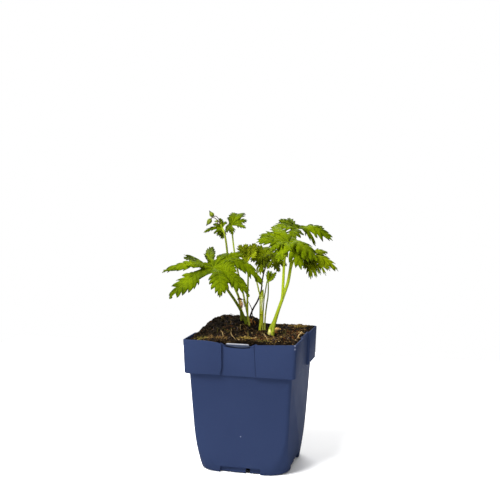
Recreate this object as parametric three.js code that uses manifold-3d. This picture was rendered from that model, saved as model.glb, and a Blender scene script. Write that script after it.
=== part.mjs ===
// Hardy geranium in its square plastic nursery pot.
// Millimetres, +Z up. The origin is the centre of the pot's base, on the ground. The label side faces -Y.
import * as THREE from "three";
import { mergeVertices } from "three/addons/utils/BufferGeometryUtils.js";
import Module from "manifold-3d";

const wasm = await Module();
wasm.setup();

// Driving dimensions
const pot = {
  height: 132,
  wall: 1.6,
  rimHalf: 56.1, // half the outer width across the rim
  collarLowHalf: 55, // and across the collar's lower edge
  collarBottom: 98.5,
  collarCorner: 3.5,
  bodyTopHalf: 51,
  bodyCorner: 3.5,
  baseHalf: 44.7,
  baseCorner: 21.5, // the corners grow rounder towards the base
  roundingHeight: 45,
  floorTop: 8,
  floorThickness: 1.8,
  skirtThickness: 1.9,
};
const recess = { left: -17, right: 15.5, depthTop: 2.4, depthBottom: 2.3, flare: 2, slope: 2.5 };
const foot = { cutLeft: -21, cutRight: 19.5, cutHeight: 6, step: 1.9, deeper: 0.9, skirtLift: 0.6 };
const notch = { left: 4.3, right: 8.7, height: 5.2, rib: -10.8 };
const drain = { radius: 4, spacing: 22, sides: 12 };
const label = { left: -14, right: 10, bottom: 103, top: 130, thickness: 0.7, y: -51.7 };
const pocket = { slot: 1.4, innerWall: 1.1, innerTop: 128.5, sideRoom: 1, dip: 6.5 };
const gap = 0.35; // clearance between pieces that touch
const soilLevel = 131.3;
const bladeThickness = 0.7;

const materials = {
  pot: new THREE.MeshStandardMaterial({ color: 0x2f4478, roughness: 0.45, metalness: 0 }),
  label: new THREE.MeshStandardMaterial({ color: 0xe9ecf2, roughness: 0.5, metalness: 0 }),
  soil: new THREE.MeshStandardMaterial({ color: 0x2c1e14, roughness: 0.95, metalness: 0 }),
  leaf: new THREE.MeshStandardMaterial({ color: 0x5d8a1e, roughness: 0.6, metalness: 0 }),
  darkLeaf: new THREE.MeshStandardMaterial({ color: 0x3c5a14, roughness: 0.6, metalness: 0 }),
  shoot: new THREE.MeshStandardMaterial({ color: 0x9cb53a, roughness: 0.55, metalness: 0 }),
  bud: new THREE.MeshStandardMaterial({ color: 0x54502a, roughness: 0.7, metalness: 0 }),
};

const geranium = new THREE.Group();

function addPiece(name, solid, material) {
  const mesh = new THREE.Mesh(toGeometry(solid), material);
  mesh.name = name;
  geranium.add(mesh);
}

// Solids in and out of the boolean library
function toSolid(geometry) {
  geometry.deleteAttribute("normal");
  geometry.deleteAttribute("uv");
  const merged = mergeVertices(geometry, 1e-4);
  const vertProperties = new Float32Array(merged.attributes.position.array);
  const triVerts = new Uint32Array(merged.index.array);
  return new wasm.Manifold(new wasm.Mesh({ numProp: 3, vertProperties, triVerts }));
}

function toGeometry(solid) {
  const mesh = solid.getMesh();
  const geometry = new THREE.BufferGeometry();
  geometry.setAttribute("position", new THREE.BufferAttribute(new Float32Array(mesh.vertProperties), 3));
  geometry.setIndex(new THREE.BufferAttribute(new Uint32Array(mesh.triVerts), 1));
  geometry.computeVertexNormals();
  return geometry;
}

function mix(a, b, t) {
  return a + (b - a) * t;
}

// The largest body of a solid, without any crumbs that a union leaves
function largestBody(solid) {
  return solid.decompose().reduce((best, body) => (body.volume() > best.volume() ? body : best));
}

function fourSides(solid) {
  let all = solid;
  for (const turn of [90, 180, 270]) {
    all = all.add(solid.rotate([0, 0, turn]));
  }
  return all;
}

// A block between two rectangles at two heights, each given as [left, right, front, back]
function taperedBlock(lowZ, low, highZ, high) {
  const geometry = new THREE.BoxGeometry(1, 1, 1);
  const position = geometry.attributes.position;
  for (let i = 0; i < position.count; i += 1) {
    const [left, right, front, back] = position.getZ(i) > 0 ? high : low;
    const x = position.getX(i) > 0 ? right : left;
    const y = position.getY(i) > 0 ? back : front;
    position.setXYZ(i, x, y, position.getZ(i) > 0 ? highZ : lowZ);
  }
  return toSolid(geometry);
}

function block(left, right, front, back, lowZ, highZ) {
  return taperedBlock(lowZ, [left, right, front, back], highZ, [left, right, front, back]);
}

// A rounded square outline, with the same number of points for any size
function roundedSquare(half, corner) {
  const shape = new THREE.Shape();
  const c = half - corner;
  shape.absarc(c, c, corner, 0, Math.PI / 2, false);
  shape.absarc(-c, c, corner, Math.PI / 2, Math.PI, false);
  shape.absarc(-c, -c, corner, Math.PI, Math.PI * 1.5, false);
  shape.absarc(c, -c, corner, Math.PI * 1.5, Math.PI * 2, false);
  return shape.curves.filter((curve) => curve.isEllipseCurve).flatMap((arc) => arc.getPoints(5));
}

// A solid lofted through rounded squares [z, half width, corner radius], closed flat at both ends
function squareLoft(sections) {
  const rings = sections.map(([, half, corner]) => roundedSquare(half, corner));
  const count = rings[0].length;
  const positions = [];
  const index = [];
  rings.forEach((ring, r) => ring.forEach((p) => positions.push(p.x, p.y, sections[r][0])));
  for (let r = 0; r + 1 < rings.length; r += 1) {
    for (let i = 0; i < count; i += 1) {
      const a = r * count + i;
      const b = r * count + ((i + 1) % count);
      index.push(a, b, b + count, a, b + count, a + count);
    }
  }
  const low = positions.length / 3;
  positions.push(0, 0, sections[0][0], 0, 0, sections[sections.length - 1][0]);
  const top = (rings.length - 1) * count;
  for (let i = 0; i < count; i += 1) {
    const next = (i + 1) % count;
    index.push(low, next, i, low + 1, top + i, top + next);
  }
  const geometry = new THREE.BufferGeometry();
  geometry.setAttribute("position", new THREE.Float32BufferAttribute(positions, 3));
  geometry.setIndex(index);
  return toSolid(geometry);
}

// The pot
function bodyHalf(z) {
  return mix(pot.baseHalf, pot.bodyTopHalf, z / pot.collarBottom);
}

function bodyCorner(z) {
  const left = Math.max(0, 1 - z / pot.roundingHeight);
  return pot.bodyCorner + (pot.baseCorner - pot.bodyCorner) * left * left;
}

function collarHalf(z) {
  return mix(pot.collarLowHalf, pot.rimHalf, (z - pot.collarBottom) / (pot.height - pot.collarBottom));
}

function potOutside() {
  const body = [0, 1, 8, 16, 25, 35, 45, 72, pot.collarBottom];
  const sections = body.map((z) => [z, bodyHalf(z) - (z === 0 ? 0.8 : 0), bodyCorner(z)]);
  const lowEdge = pot.collarBottom;
  sections.push([lowEdge, collarHalf(lowEdge) - 0.8, pot.collarCorner]);
  sections.push([lowEdge + 0.8, collarHalf(lowEdge + 0.8), pot.collarCorner]);
  sections.push([pot.height - 0.5, collarHalf(pot.height - 0.5), pot.collarCorner]);
  sections.push([pot.height, collarHalf(pot.height) - 0.5, pot.collarCorner - 0.5]);
  return squareLoft(sections);
}

// The room inside the walls, from lowZ up to highZ, drawn in by a margin
function bodyRoom(lowZ, margin) {
  const inset = pot.wall + margin;
  const shelf = pot.collarBottom + pot.wall;
  const heights = [lowZ, 16, 25, 35, 45, 72, shelf + 1];
  return squareLoft(heights.map((z) => [z, bodyHalf(z) - inset, Math.max(bodyCorner(z) - inset, 1.5)]));
}

function collarRoom(highZ, margin) {
  const inset = pot.wall + margin;
  const shelf = pot.collarBottom + pot.wall + margin;
  const corner = pot.collarCorner - pot.wall;
  const room = squareLoft([
    [shelf, collarHalf(shelf) - inset, corner],
    [pot.height, collarHalf(pot.height) - inset, corner],
    [highZ, collarHalf(pot.height) - inset, corner],
  ]);
  return room.subtract(wallBumps(highZ, margin));
}

// Behind each recess the wall steps in, and at the front it also holds the label's pocket
function wallBumps(highZ, margin) {
  const left = recess.left - recess.flare - margin;
  const right = recess.right + recess.slope + margin;
  const lowZ = pot.collarBottom;
  const low = -(pot.collarLowHalf - recess.depthBottom - pot.wall - margin);
  const high = -(pot.rimHalf - recess.depthTop - pot.wall - margin);
  const bump = taperedBlock(lowZ, [left, right, -60, low], highZ + 1, [left, right, -60, high]);
  const back = label.y + pocket.slot / 2 + pocket.innerWall + margin;
  return fourSides(bump).add(block(left, right, -60, back, lowZ, highZ + 1));
}

// The flat middle of each side of the collar, cut back from the outside
function recessCut() {
  const splitZ = pot.collarBottom + 8;
  const topZ = pot.height + 2;
  const lowZ = pot.collarBottom - 1;
  const lowFace = -(pot.collarLowHalf - recess.depthBottom);
  const highFace = -(pot.rimHalf - recess.depthTop);
  const splitFace = mix(lowFace, highFace, 0.25);
  const upper = taperedBlock(
    splitZ, [recess.left, recess.right, -60, splitFace],
    topZ, [recess.left, recess.right, -60, highFace],
  );
  const lower = taperedBlock(
    lowZ, [recess.left - recess.flare, recess.right, -60, lowFace],
    splitZ, [recess.left, recess.right, -60, splitFace],
  );
  const draft = new THREE.Shape();
  draft.moveTo(recess.right - 1, -60);
  draft.lineTo(recess.right + recess.slope + 2.5, -60);
  draft.lineTo(recess.right + recess.slope, -pot.rimHalf);
  draft.lineTo(recess.right, highFace);
  draft.lineTo(recess.right - 1, highFace);
  const slope = toSolid(new THREE.ExtrudeGeometry(draft, { depth: topZ - lowZ, bevelEnabled: false }));
  return upper.add(lower).add(slope.translate([0, 0, lowZ]));
}

// The front rim sags toward the label on both sides
function rimSag() {
  const { height } = pot;
  const sag = new THREE.Shape();
  sag.moveTo(recess.left - 16, height + 2);
  sag.lineTo(recess.left - 16, height);
  sag.lineTo(recess.left - 4, height - 1.2);
  sag.lineTo(recess.left, height - 3);
  sag.lineTo(label.left - pocket.sideRoom, height - 4.4);
  sag.lineTo(label.right + pocket.sideRoom, height - 4.2);
  sag.lineTo(recess.right, height - 2);
  sag.lineTo(pot.rimHalf - 3, height);
  sag.lineTo(pot.rimHalf - 3, height + 2);
  const depth = 60 + label.y + pocket.slot / 2 + pocket.innerWall + 0.2;
  const geometry = new THREE.ExtrudeGeometry(sag, { depth, bevelEnabled: false });
  return toSolid(geometry).rotate([90, 0, 0]).translate([0, -60 + depth, 0]);
}

// The front rim dips in a shallow curve, so that the label shows behind it
function rimDip() {
  const top = pot.height + 2;
  const edge = pot.height - pocket.dip * 0.75;
  const dip = new THREE.Shape();
  dip.moveTo(recess.left - 4, top);
  dip.lineTo(recess.left - 4, pot.height);
  dip.quadraticCurveTo(recess.left, pot.height - 0.3, recess.left + 0.3, edge);
  dip.quadraticCurveTo(0, pot.height - pocket.dip * 1.25, recess.right - 0.3, edge);
  dip.quadraticCurveTo(recess.right, pot.height - 0.6, recess.right + 2, pot.height - 0.3);
  dip.lineTo(recess.right + 3, top);
  const depth = 60 + label.y - pocket.slot / 2 + 0.2;
  const geometry = new THREE.ExtrudeGeometry(dip, { depth, bevelEnabled: false, curveSegments: 6 });
  return toSolid(geometry).rotate([90, 0, 0]).translate([0, -60 + depth, 0]);
}

function labelSlot() {
  const left = label.left - pocket.sideRoom;
  const right = label.right + pocket.sideRoom;
  const half = pocket.slot / 2;
  const slot = block(left, right, label.y - half, label.y + half, label.bottom - gap, pot.height + 2);
  const back = label.y + half + pocket.innerWall + 0.2;
  return slot.add(block(left, right, label.y, back, pocket.innerTop, pot.height + 2));
}

// Each side's wall stops short of the ground between its feet, with a notched skirt set back behind it
function footCut() {
  const face = -(pot.baseHalf - foot.step);
  const deepFace = face + foot.deeper;
  const wall = block(foot.cutLeft, foot.cutRight, -60, face, -1, foot.cutHeight);
  const lift = block(foot.cutLeft, foot.cutRight, -60, -30, -1, foot.skirtLift);
  const leftPanel = block(foot.cutLeft, notch.rib, -60, deepFace, -1, foot.cutHeight);
  const rightPanel = block(notch.right, foot.cutRight, -60, deepFace, -1, foot.cutHeight);
  const opening = block(notch.left, notch.right, -60, -30, -1, notch.height);
  return wall.add(lift).add(leftPanel).add(rightPanel).add(opening);
}

function drainHoles() {
  const geometry = new THREE.CylinderGeometry(drain.radius, drain.radius, 10, drain.sides);
  const hole = toSolid(geometry).rotate([90, 0, 0]).translate([0, 0, pot.floorTop - 1]);
  return fourSides(hole.translate([drain.spacing, drain.spacing, 0])).add(hole);
}

function nurseryPot() {
  const floorUnder = pot.floorTop - pot.floorThickness;
  const ringHalf = pot.baseHalf - foot.step - pot.skirtThickness;
  const under = squareLoft([
    [-1, ringHalf, pot.baseCorner - foot.step - pot.skirtThickness],
    [floorUnder, ringHalf, pot.baseCorner - foot.step - pot.skirtThickness],
  ]);
  const room = bodyRoom(pot.floorTop, 0).add(collarRoom(pot.height + 1, 0));
  const cuts = [room, under, fourSides(recessCut()), fourSides(footCut()), drainHoles(), labelSlot(), rimSag(), rimDip()];
  return cuts.reduce((solid, cut) => solid.subtract(cut), potOutside());
}

function plantLabel() {
  const half = label.thickness / 2;
  return block(label.left, label.right, label.y - half, label.y + half, label.bottom, label.top);
}

// The soil: level with the rim, raised over the back left quarter and sunk in the front left corner
function bell(x, y, centreX, centreY, spreadX, spreadY) {
  const dx = (x - centreX) / spreadX;
  const dy = (y - centreY) / spreadY;
  return Math.exp(-0.5 * (dx * dx + dy * dy));
}

function soilHeight(x, y) {
  const fall = THREE.MathUtils.smoothstep(x, -24 + 0.2 * y, 3);
  const edge = 0.3 * THREE.MathUtils.smoothstep(-x, 34, 53);
  const heap = 7.6 * (1 - Math.exp(-Math.max(0, y + 25) / 30)) * (1 - fall) * (1 - edge);
  const hollow = 3.5 * bell(x, y, -52, -50, 12, 16);
  const crumbs = 0.5 * Math.sin(0.41 * x + 1.3) * Math.sin(0.37 * y + 0.4) + 0.35 * Math.sin(0.83 * x - 0.61 * y);
  return soilLevel + heap - hollow + crumbs;
}

function pottingSoil() {
  const cells = 22;
  const geometry = new THREE.BoxGeometry(114, 114, 1, cells, cells, 1);
  const position = geometry.attributes.position;
  for (let i = 0; i < position.count; i += 1) {
    const x = position.getX(i);
    const y = position.getY(i);
    position.setZ(i, position.getZ(i) > 0 ? soilHeight(x, y) : 0);
  }
  const room = bodyRoom(pot.floorTop + gap, gap).add(collarRoom(pot.height + 12, gap));
  return toSolid(geometry).intersect(room);
}

// A round stalk along a smooth curve; radii go from its foot to its top, spread evenly along it.
// The margin makes it fatter and longer, for the hole that it stands in.
function stalk({ path, radii, sides = 6, rings = 14 }, margin = 0) {
  const curve = new THREE.CatmullRomCurve3(path.map(([x, y, z]) => new THREE.Vector3(x, y, z)));
  const frames = curve.computeFrenetFrames(rings, false);
  const geometry = new THREE.CylinderGeometry(1, 1, 1, sides, rings);
  const position = geometry.attributes.position;
  for (let i = 0; i < position.count; i += 1) {
    const ring = Math.round((position.getY(i) + 0.5) * rings);
    const along = (ring / rings) * (radii.length - 1);
    const k = Math.min(Math.floor(along), radii.length - 2);
    const radius = mix(radii[k], radii[k + 1], along - k) + margin;
    const point = curve.getPointAt(ring / rings);
    point.addScaledVector(frames.normals[ring], position.getX(i) * radius);
    point.addScaledVector(frames.binormals[ring], -position.getZ(i) * radius);
    if (ring === 0) point.addScaledVector(frames.tangents[0], -margin);
    position.setXYZ(i, point.x, point.y, point.z);
  }
  return toSolid(geometry);
}

// A leaf blade. Each lobe has a rib that arches from the hub to its tip, and side veins that end in teeth.
// The table gives one side of a lobe: [where the vein leaves the rib, where it ends, how far out], by length.
const sinusDepth = 0.3; // neighbouring lobes are joined up to here, unless the leaf says otherwise
const lobeSide = [
  [0.36, 0.41, 0.13],
  [0.41, 0.5, 0.17],
  [0.46, 0.66, 0.245],
  [0.53, 0.56, 0.105],
  [0.62, 0.85, 0.185],
  [0.71, 0.75, 0.075],
  [0.81, 0.96, 0.095],
  [0.9, 0.91, 0.035],
];
// the same for the large leaf, whose lobes have more and shallower teeth
const toothedSide = [
  [0.39, 0.49, 0.195],
  [0.43, 0.465, 0.165],
  [0.47, 0.605, 0.245],
  [0.53, 0.57, 0.185],
  [0.57, 0.73, 0.235],
  [0.64, 0.685, 0.16],
  [0.68, 0.84, 0.19],
  [0.76, 0.795, 0.11],
  [0.8, 0.925, 0.125],
  [0.87, 0.89, 0.06],
];

function lobeRib(hub, lobe) {
  const turn = THREE.MathUtils.degToRad(lobe.heading);
  const tip = new THREE.Vector3(Math.cos(turn) * lobe.reach, Math.sin(turn) * lobe.reach, lobe.rise);
  const bow = hub.clone().addScaledVector(tip, 0.5);
  bow.z += 2 * lobe.arch;
  bow.x += 2 * lobe.bow * Math.sin(turn);
  bow.y -= 2 * lobe.bow * Math.cos(turn);
  return new THREE.QuadraticBezierCurve3(hub, bow, tip.clone().add(hub));
}

// The point beside the rib at a place along it: side is 1 on the right of the rib and -1 on the left
function besideRib(rib, lobe, facing, at, side, out) {
  const chord = rib.v2.clone().sub(rib.v0);
  const across = chord.clone().cross(facing).normalize();
  const up = across.clone().cross(rib.getTangent(at)).normalize();
  const twist = THREE.MathUtils.degToRad(lobe.twist) * Math.min(1, at / 0.5);
  const width = out * chord.length() * lobe.width;
  const point = rib.getPoint(at);
  point.addScaledVector(across, side * width * Math.cos(twist));
  point.addScaledVector(up, side * width * Math.sin(twist) - width * lobe.fold);
  return point;
}

function leafBlade({ hub: [x, y, z], facing = [0, 0, 1], lobes, sinus = sinusDepth, toothed = false }) {
  const hub = new THREE.Vector3(x, y, z);
  const front = new THREE.Vector3(...facing).normalize();
  const plan = lobes.map((lobe) => ({ arch: 3, bow: 0, twist: 0, width: 1, fold: 0.15, ...lobe }));
  const ribs = plan.map((lobe) => lobeRib(hub, lobe));
  const beside = (k, at, side, out) => besideRib(ribs[k], plan[k], front, at, side, out);
  const outline = (toothed ? toothedSide : lobeSide).filter((row) => row[0] > sinus);
  const points = [hub];
  const faces = [];
  const add = (point) => points.push(point) - 1;

  // the boundary before lobe k: shared with its neighbour, or its own edge beside the open sinus
  const boundaries = [];
  for (let k = 0; k <= plan.length; k += 1) {
    let end;
    if (k === 0) end = beside(0, sinus, -1, 0.1);
    else if (k === plan.length) end = beside(k - 1, sinus, 1, 0.1);
    else end = beside(k - 1, sinus, 1, 0.12).add(beside(k, sinus, -1, 0.12)).multiplyScalar(0.5);
    boundaries.push([add(hub.clone().lerp(end, 0.5)), add(end)]);
  }
  plan.forEach((lobe, k) => {
    const rib = [sinus / 2, sinus, ...outline.map((row) => row[0])].map((at) => add(ribs[k].getPoint(at)));
    const tip = add(ribs[k].getPoint(1));
    for (const side of [-1, 1]) {
      const teeth = outline.map(([, at, out]) => add(beside(k, at, side, out)));
      const edge = [...boundaries[side < 0 ? k : k + 1], ...teeth];
      const face = (a, b, c) => faces.push(side > 0 ? [a, c, b] : [a, b, c]);
      face(0, rib[0], edge[0]);
      for (let row = 0; row + 1 < rib.length; row += 1) {
        face(rib[row], rib[row + 1], edge[row + 1]);
        face(rib[row], edge[row + 1], edge[row]);
      }
      face(rib[rib.length - 1], tip, edge[edge.length - 1]);
    }
  });
  return toSolid(thickSheet(points, faces, bladeThickness));
}

// A sheet given a thickness, split into triangles alike on both faces, with a wall along its edge
function thickSheet(points, faces, thickness) {
  const normals = points.map(() => new THREE.Vector3());
  const borders = new Map();
  for (const face of faces) {
    const [a, b, c] = face.map((i) => points[i]);
    const normal = b.clone().sub(a).cross(c.clone().sub(a));
    face.forEach((i, corner) => {
      const next = face[(corner + 1) % 3];
      normals[i].add(normal);
      if (!borders.delete(`${next} ${i}`)) borders.set(`${i} ${next}`, [i, next]);
    });
  }
  const count = points.length;
  const positions = [];
  for (const shift of [thickness / 2, -thickness / 2]) {
    points.forEach((point, i) => {
      const moved = point.clone().addScaledVector(normals[i].clone().normalize(), shift);
      positions.push(moved.x, moved.y, moved.z);
    });
  }
  const index = [];
  for (const [a, b, c] of faces) {
    index.push(a, b, c, a + count, c + count, b + count);
  }
  for (const [a, b] of borders.values()) {
    index.push(a, a + count, b + count, a, b + count, b);
  }
  const geometry = new THREE.BufferGeometry();
  geometry.setAttribute("position", new THREE.Float32BufferAttribute(positions, 3));
  geometry.setIndex(index);
  return geometry;
}

// The buds and their pedicels, joined at the foot of the cluster
function flowerBud({ path, tip, size }) {
  const base = new THREE.Vector3(...path[path.length - 1]);
  const lean = new THREE.Vector3(...tip).sub(base).normalize();
  const profile = budCluster.profile.map(([out, up]) => new THREE.Vector2(out * size, up * size));
  const geometry = new THREE.LatheGeometry(profile, 8);
  geometry.applyQuaternion(new THREE.Quaternion().setFromUnitVectors(new THREE.Vector3(0, 1, 0), lean));
  base.addScaledVector(lean, -0.5 * size);
  geometry.translate(base.x, base.y, base.z);
  const radii = [budCluster.pedicelRadius, budCluster.pedicelRadius];
  const pedicel = stalk({ path: [budCluster.foot, ...path], radii, sides: 5, rings: 7 });
  return toSolid(geometry).add(pedicel);
}

function flowerBuds() {
  return largestBody(budCluster.buds.map(flowerBud).reduce((all, bud) => all.add(bud)));
}

// Each leaf: the hub of its blade, its lobes in order from one side of the leaf stalk round to the other,
// and the leaf stalk's path from its root. Headings are degrees from +X towards +Y.
const leaves = {
  leaf_front_left: {
    toothed: true,
    sinus: 0.34,
    hub: [-35, -20, 198],
    lobes: [
      { heading: 0, reach: 23.5, rise: -3, arch: 4, twist: -60, width: 1.5 },
      { heading: -16, reach: 40.5, rise: -25.5, arch: 7, twist: -30, width: 0.7 },
      { heading: -63, reach: 31, rise: -25, arch: 7, bow: -2.5, width: 1.1 },
      { heading: -143, reach: 46.5, rise: -28, arch: 5.5, twist: 50, width: 0.75 },
      { heading: -156, reach: 29.5, rise: 5.5, arch: 1.5, twist: 30, width: 0.9 },
      { heading: -168, reach: 51.5, rise: -4.5, arch: 6, twist: 30, width: 0.5 },
      { heading: 156, reach: 40, rise: 7, arch: 2.5, twist: -35, width: 1.1 },
      { heading: 127, reach: 26, rise: 9, arch: 2, twist: -60, width: 1.15 },
      { heading: 108, reach: 36.5, rise: 18, arch: 2, bow: -2.5, twist: -20, width: 0.55 },
      { heading: 72, reach: 26, rise: 13, arch: 4, width: 0.9 },
      { heading: 19, reach: 46.5, rise: -16, arch: 15, twist: -45, width: 0.62 },
    ],
    path: [[-13, 18, 125], [-13.5, 18, 136], [-16.5, 16, 149.5], [-20, 11, 159.5], [-24.5, 4, 169.5],
      [-27.5, -4, 177.5], [-31.5, -15, 189], [-35, -20, 197.8]],
    radii: [1.6, 1.4, 1.1],
  },
  leaf_top_left: {
    sinus: 0.42,
    hub: [-24, 6, 239],
    lobes: [
      { heading: -73, reach: 14.5, rise: -8.5, arch: 2, width: 0.9 },
      { heading: -118, reach: 9, rise: -7.2, arch: 1.5, width: 1.7 },
      { heading: -172, reach: 6.5, rise: -2.5, arch: 1, twist: 40, width: 1.7 },
      { heading: 118, reach: 11.5, rise: 8, arch: 2 },
      { heading: 98, reach: 18.5, rise: 12, arch: 3, width: 0.95 },
      { heading: 64, reach: 18.5, rise: 12, arch: 3, width: 1.4 },
      { heading: 22, reach: 16, rise: 5, arch: 2, twist: -30, width: 1.4 },
      { heading: -20, reach: 17.5, rise: -2, arch: 2, twist: -30, width: 0.9 },
    ],
    path: [[-8.5, 21, 125], [-9, 21, 136], [-11.5, 22, 148.5], [-14.5, 17, 169], [-17.5, 8, 191],
      [-20.5, 5, 211], [-22.5, 5, 226], [-24, 6, 238.8]],
    radii: [1.2, 0.9, 0.75],
  },
  leaf_folded: {
    sinus: 0.4,
    dark: true,
    hub: [-11, 22, 200.5],
    facing: [0.2, -0.8, 0.5],
    lobes: [
      { heading: -125, reach: 9.5, rise: -8.5, arch: 1, width: 1.2 },
      { heading: -151, reach: 10.5, rise: 10.5, arch: 2, width: 0.9 },
      { heading: 169, reach: 10.5, rise: 17.5, arch: 2, width: 0.9 },
      { heading: 115, reach: 13, rise: 18, arch: 2, width: 0.9 },
      { heading: 68, reach: 13, rise: 19, arch: 2, width: 0.9 },
      { heading: 0, reach: 9, rise: 11, arch: 1, width: 1.1 },
    ],
    path: [[-12, 27, 125], [-12, 27, 136], [-13, 29, 158], [-12, 27, 176], [-11, 24, 191], [-11, 22, 200.3]],
    radii: [1.2, 1, 0.8],
  },
  leaf_middle: {
    sinus: 0.4,
    dark: true,
    hub: [3, 38, 207.5],
    lobes: [
      { heading: -96, reach: 14, rise: -20, arch: 4, width: 1.15 },
      { heading: -125, reach: 12, rise: -12, arch: 4, width: 1.9 },
      { heading: -158, reach: 14.5, rise: -8, arch: 4, twist: 40, width: 1.6 },
      { heading: 174, reach: 15.5, rise: -1, arch: 4, twist: 50, width: 1.5 },
      { heading: 150, reach: 16, rise: 5.5, arch: 3, twist: 40, width: 1.5 },
      { heading: 94, reach: 14, rise: 6.5, arch: 2, width: 1.7 },
      { heading: 54, reach: 16, rise: 4, arch: 2, width: 1.7 },
      { heading: 9, reach: 14, rise: -3, arch: 3, twist: -30, width: 1.9 },
      { heading: -27, reach: 14, rise: -9, arch: 4, width: 1.9 },
      { heading: -58, reach: 10, rise: -13, arch: 3, width: 1.8 },
    ],
    path: [[-4, 25, 125], [-3.5, 25, 136], [0.5, 30, 161.5], [-1.5, 30, 172], [-3.5, 30, 182.5],
      [-2, 31, 196], [3, 38, 207.1]],
    radii: [1, 0.8, 0.7],
  },
  leaf_under: {
    sinus: 0.36,
    dark: true,
    hub: [15, 22, 202.5],
    lobes: [
      { heading: -112, reach: 8.5, rise: -7.5, arch: 1, width: 1.4 },
      { heading: 57, reach: 14.5, rise: 4, arch: 2, twist: -50, width: 1.5 },
      { heading: 30, reach: 16, rise: 6, arch: 2, twist: -50, width: 1.3 },
      { heading: 8, reach: 15, rise: -5, arch: 2, twist: -40, width: 1.6 },
      { heading: -27, reach: 9, rise: -11, arch: 2, width: 2 },
    ],
    path: [[-10.5, 33, 125], [-10.5, 33, 136], [-8.5, 35, 149], [-3.5, 35.5, 159], [0.5, 34, 170],
      [2.2, 31, 180.5], [6, 25, 192.5], [10, 22, 199], [15, 22, 202.3]],
    radii: [1, 0.8, 0.7],
  },
  leaf_front_right: {
    sinus: 0.36,
    hub: [37.5, -6, 224.5],
    lobes: [
      { heading: -49, reach: 25, rise: -24.5, arch: 8, width: 1.25 },
      { heading: -106, reach: 22, rise: -18, arch: 6, width: 1.6 },
      { heading: -159, reach: 32, rise: 0.5, arch: 3, twist: 35, width: 1.1 },
      { heading: 171, reach: 31.5, rise: 6, arch: 3, twist: 35, width: 1.15 },
      { heading: 138, reach: 27, rise: 14, arch: 3, twist: 8 },
      { heading: 32, reach: 26, rise: -8, arch: 4, twist: -20, width: 1.1 },
      { heading: -6, reach: 29.5, rise: -18, arch: 7, twist: -15, width: 1.6 },
    ],
    path: [[23.5, -12, 121], [23.5, -12, 132], [24.5, -11, 141.5], [28.5, -10, 156.5], [32, -9, 168.5],
      [33, -9, 184.5], [33.5, -8.5, 199.5], [34.5, -7.5, 213], [37.5, -6, 224.3]],
    radii: [1.7, 1.5, 1.2],
  },
  leaf_top_right: {
    hub: [38, 36, 235],
    lobes: [
      { heading: -94, reach: 19, rise: -10, arch: 3, width: 1.4 },
      { heading: -147, reach: 26, rise: 3, arch: 2, twist: 40, width: 0.8 },
      { heading: 166, reach: 22, rise: 8, arch: 2, twist: 35, width: 1.25 },
      { heading: 126, reach: 21.5, rise: 10, arch: 1.5, bow: -2, width: 0.9 },
      { heading: 36, reach: 30.5, rise: 0, arch: 2, twist: -30, width: 0.8 },
      { heading: 14, reach: 36, rise: -12, arch: 6, twist: -50, width: 0.9 },
      { heading: -6, reach: 19.5, rise: -17, arch: 7, twist: -15, width: 0.95 },
    ],
    path: [[19.5, -9, 121], [19.5, -9, 132], [20, -7, 137.5], [23.5, -5, 145.5], [28, -2, 159.5],
      [32, 2, 173], [35, 5, 184], [36.5, 9, 197.8], [36, 16, 209.3], [36, 27, 224], [38, 36, 234.8]],
    radii: [2, 1.8, 1.6, 1.1],
  },
  leaf_low_right: {
    dark: true,
    hub: [55.5, 6, 210.5],
    lobes: [
      { heading: -93, reach: 15, rise: -12, arch: 2, width: 1.2 },
      { heading: -73, reach: 20, rise: -21, arch: 4, width: 0.7 },
      { heading: -55, reach: 18.5, rise: -20, arch: 4, width: 0.6 },
      { heading: -38, reach: 18, rise: -17.5, arch: 4, width: 0.6 },
      { heading: -23, reach: 20.5, rise: -18, arch: 5, twist: -20, width: 0.55 },
      { heading: -8, reach: 22.5, rise: -14, arch: 4, twist: -40, width: 0.75 },
      { heading: 4, reach: 29.5, rise: -14.5, arch: 5, twist: -40, width: 0.7 },
      { heading: 26, reach: 23, rise: -6, arch: 3, twist: -40, width: 0.9 },
      { heading: 45, reach: 23, rise: 2.5, arch: 3, twist: -30, width: 1.1 },
    ],
    path: [[18, -2, 122], [18, -2, 132], [21, 2, 143], [26.5, 6, 158], [30.5, 10, 172], [33.5, 13, 183],
      [35.5, 16, 196.5], [38.5, 17, 205], [46, 13, 210], [55.5, 6, 210.3]],
    radii: [1.5, 1.3, 1],
  },
  leaf_young: {
    hub: [14.5, 2, 182.5],
    facing: [0.2, -0.9, 0.3],
    lobes: [
      { heading: 14, reach: 1, rise: 13, arch: 0, width: 0.8 },
      { heading: 49, reach: 5, rise: 12, arch: 0, width: 0.8 },
      { heading: 21, reach: 9, rise: 11, arch: 0, width: 0.8 },
      { heading: -8, reach: 8, rise: 8, arch: 0, width: 0.8 },
    ],
    path: [[11, 10, 122], [11, 10, 133], [12, 9, 152], [14, 6, 167.5], [14.5, 2, 183.4]],
    radii: [1.3, 1.2, 1],
  },
};

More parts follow.
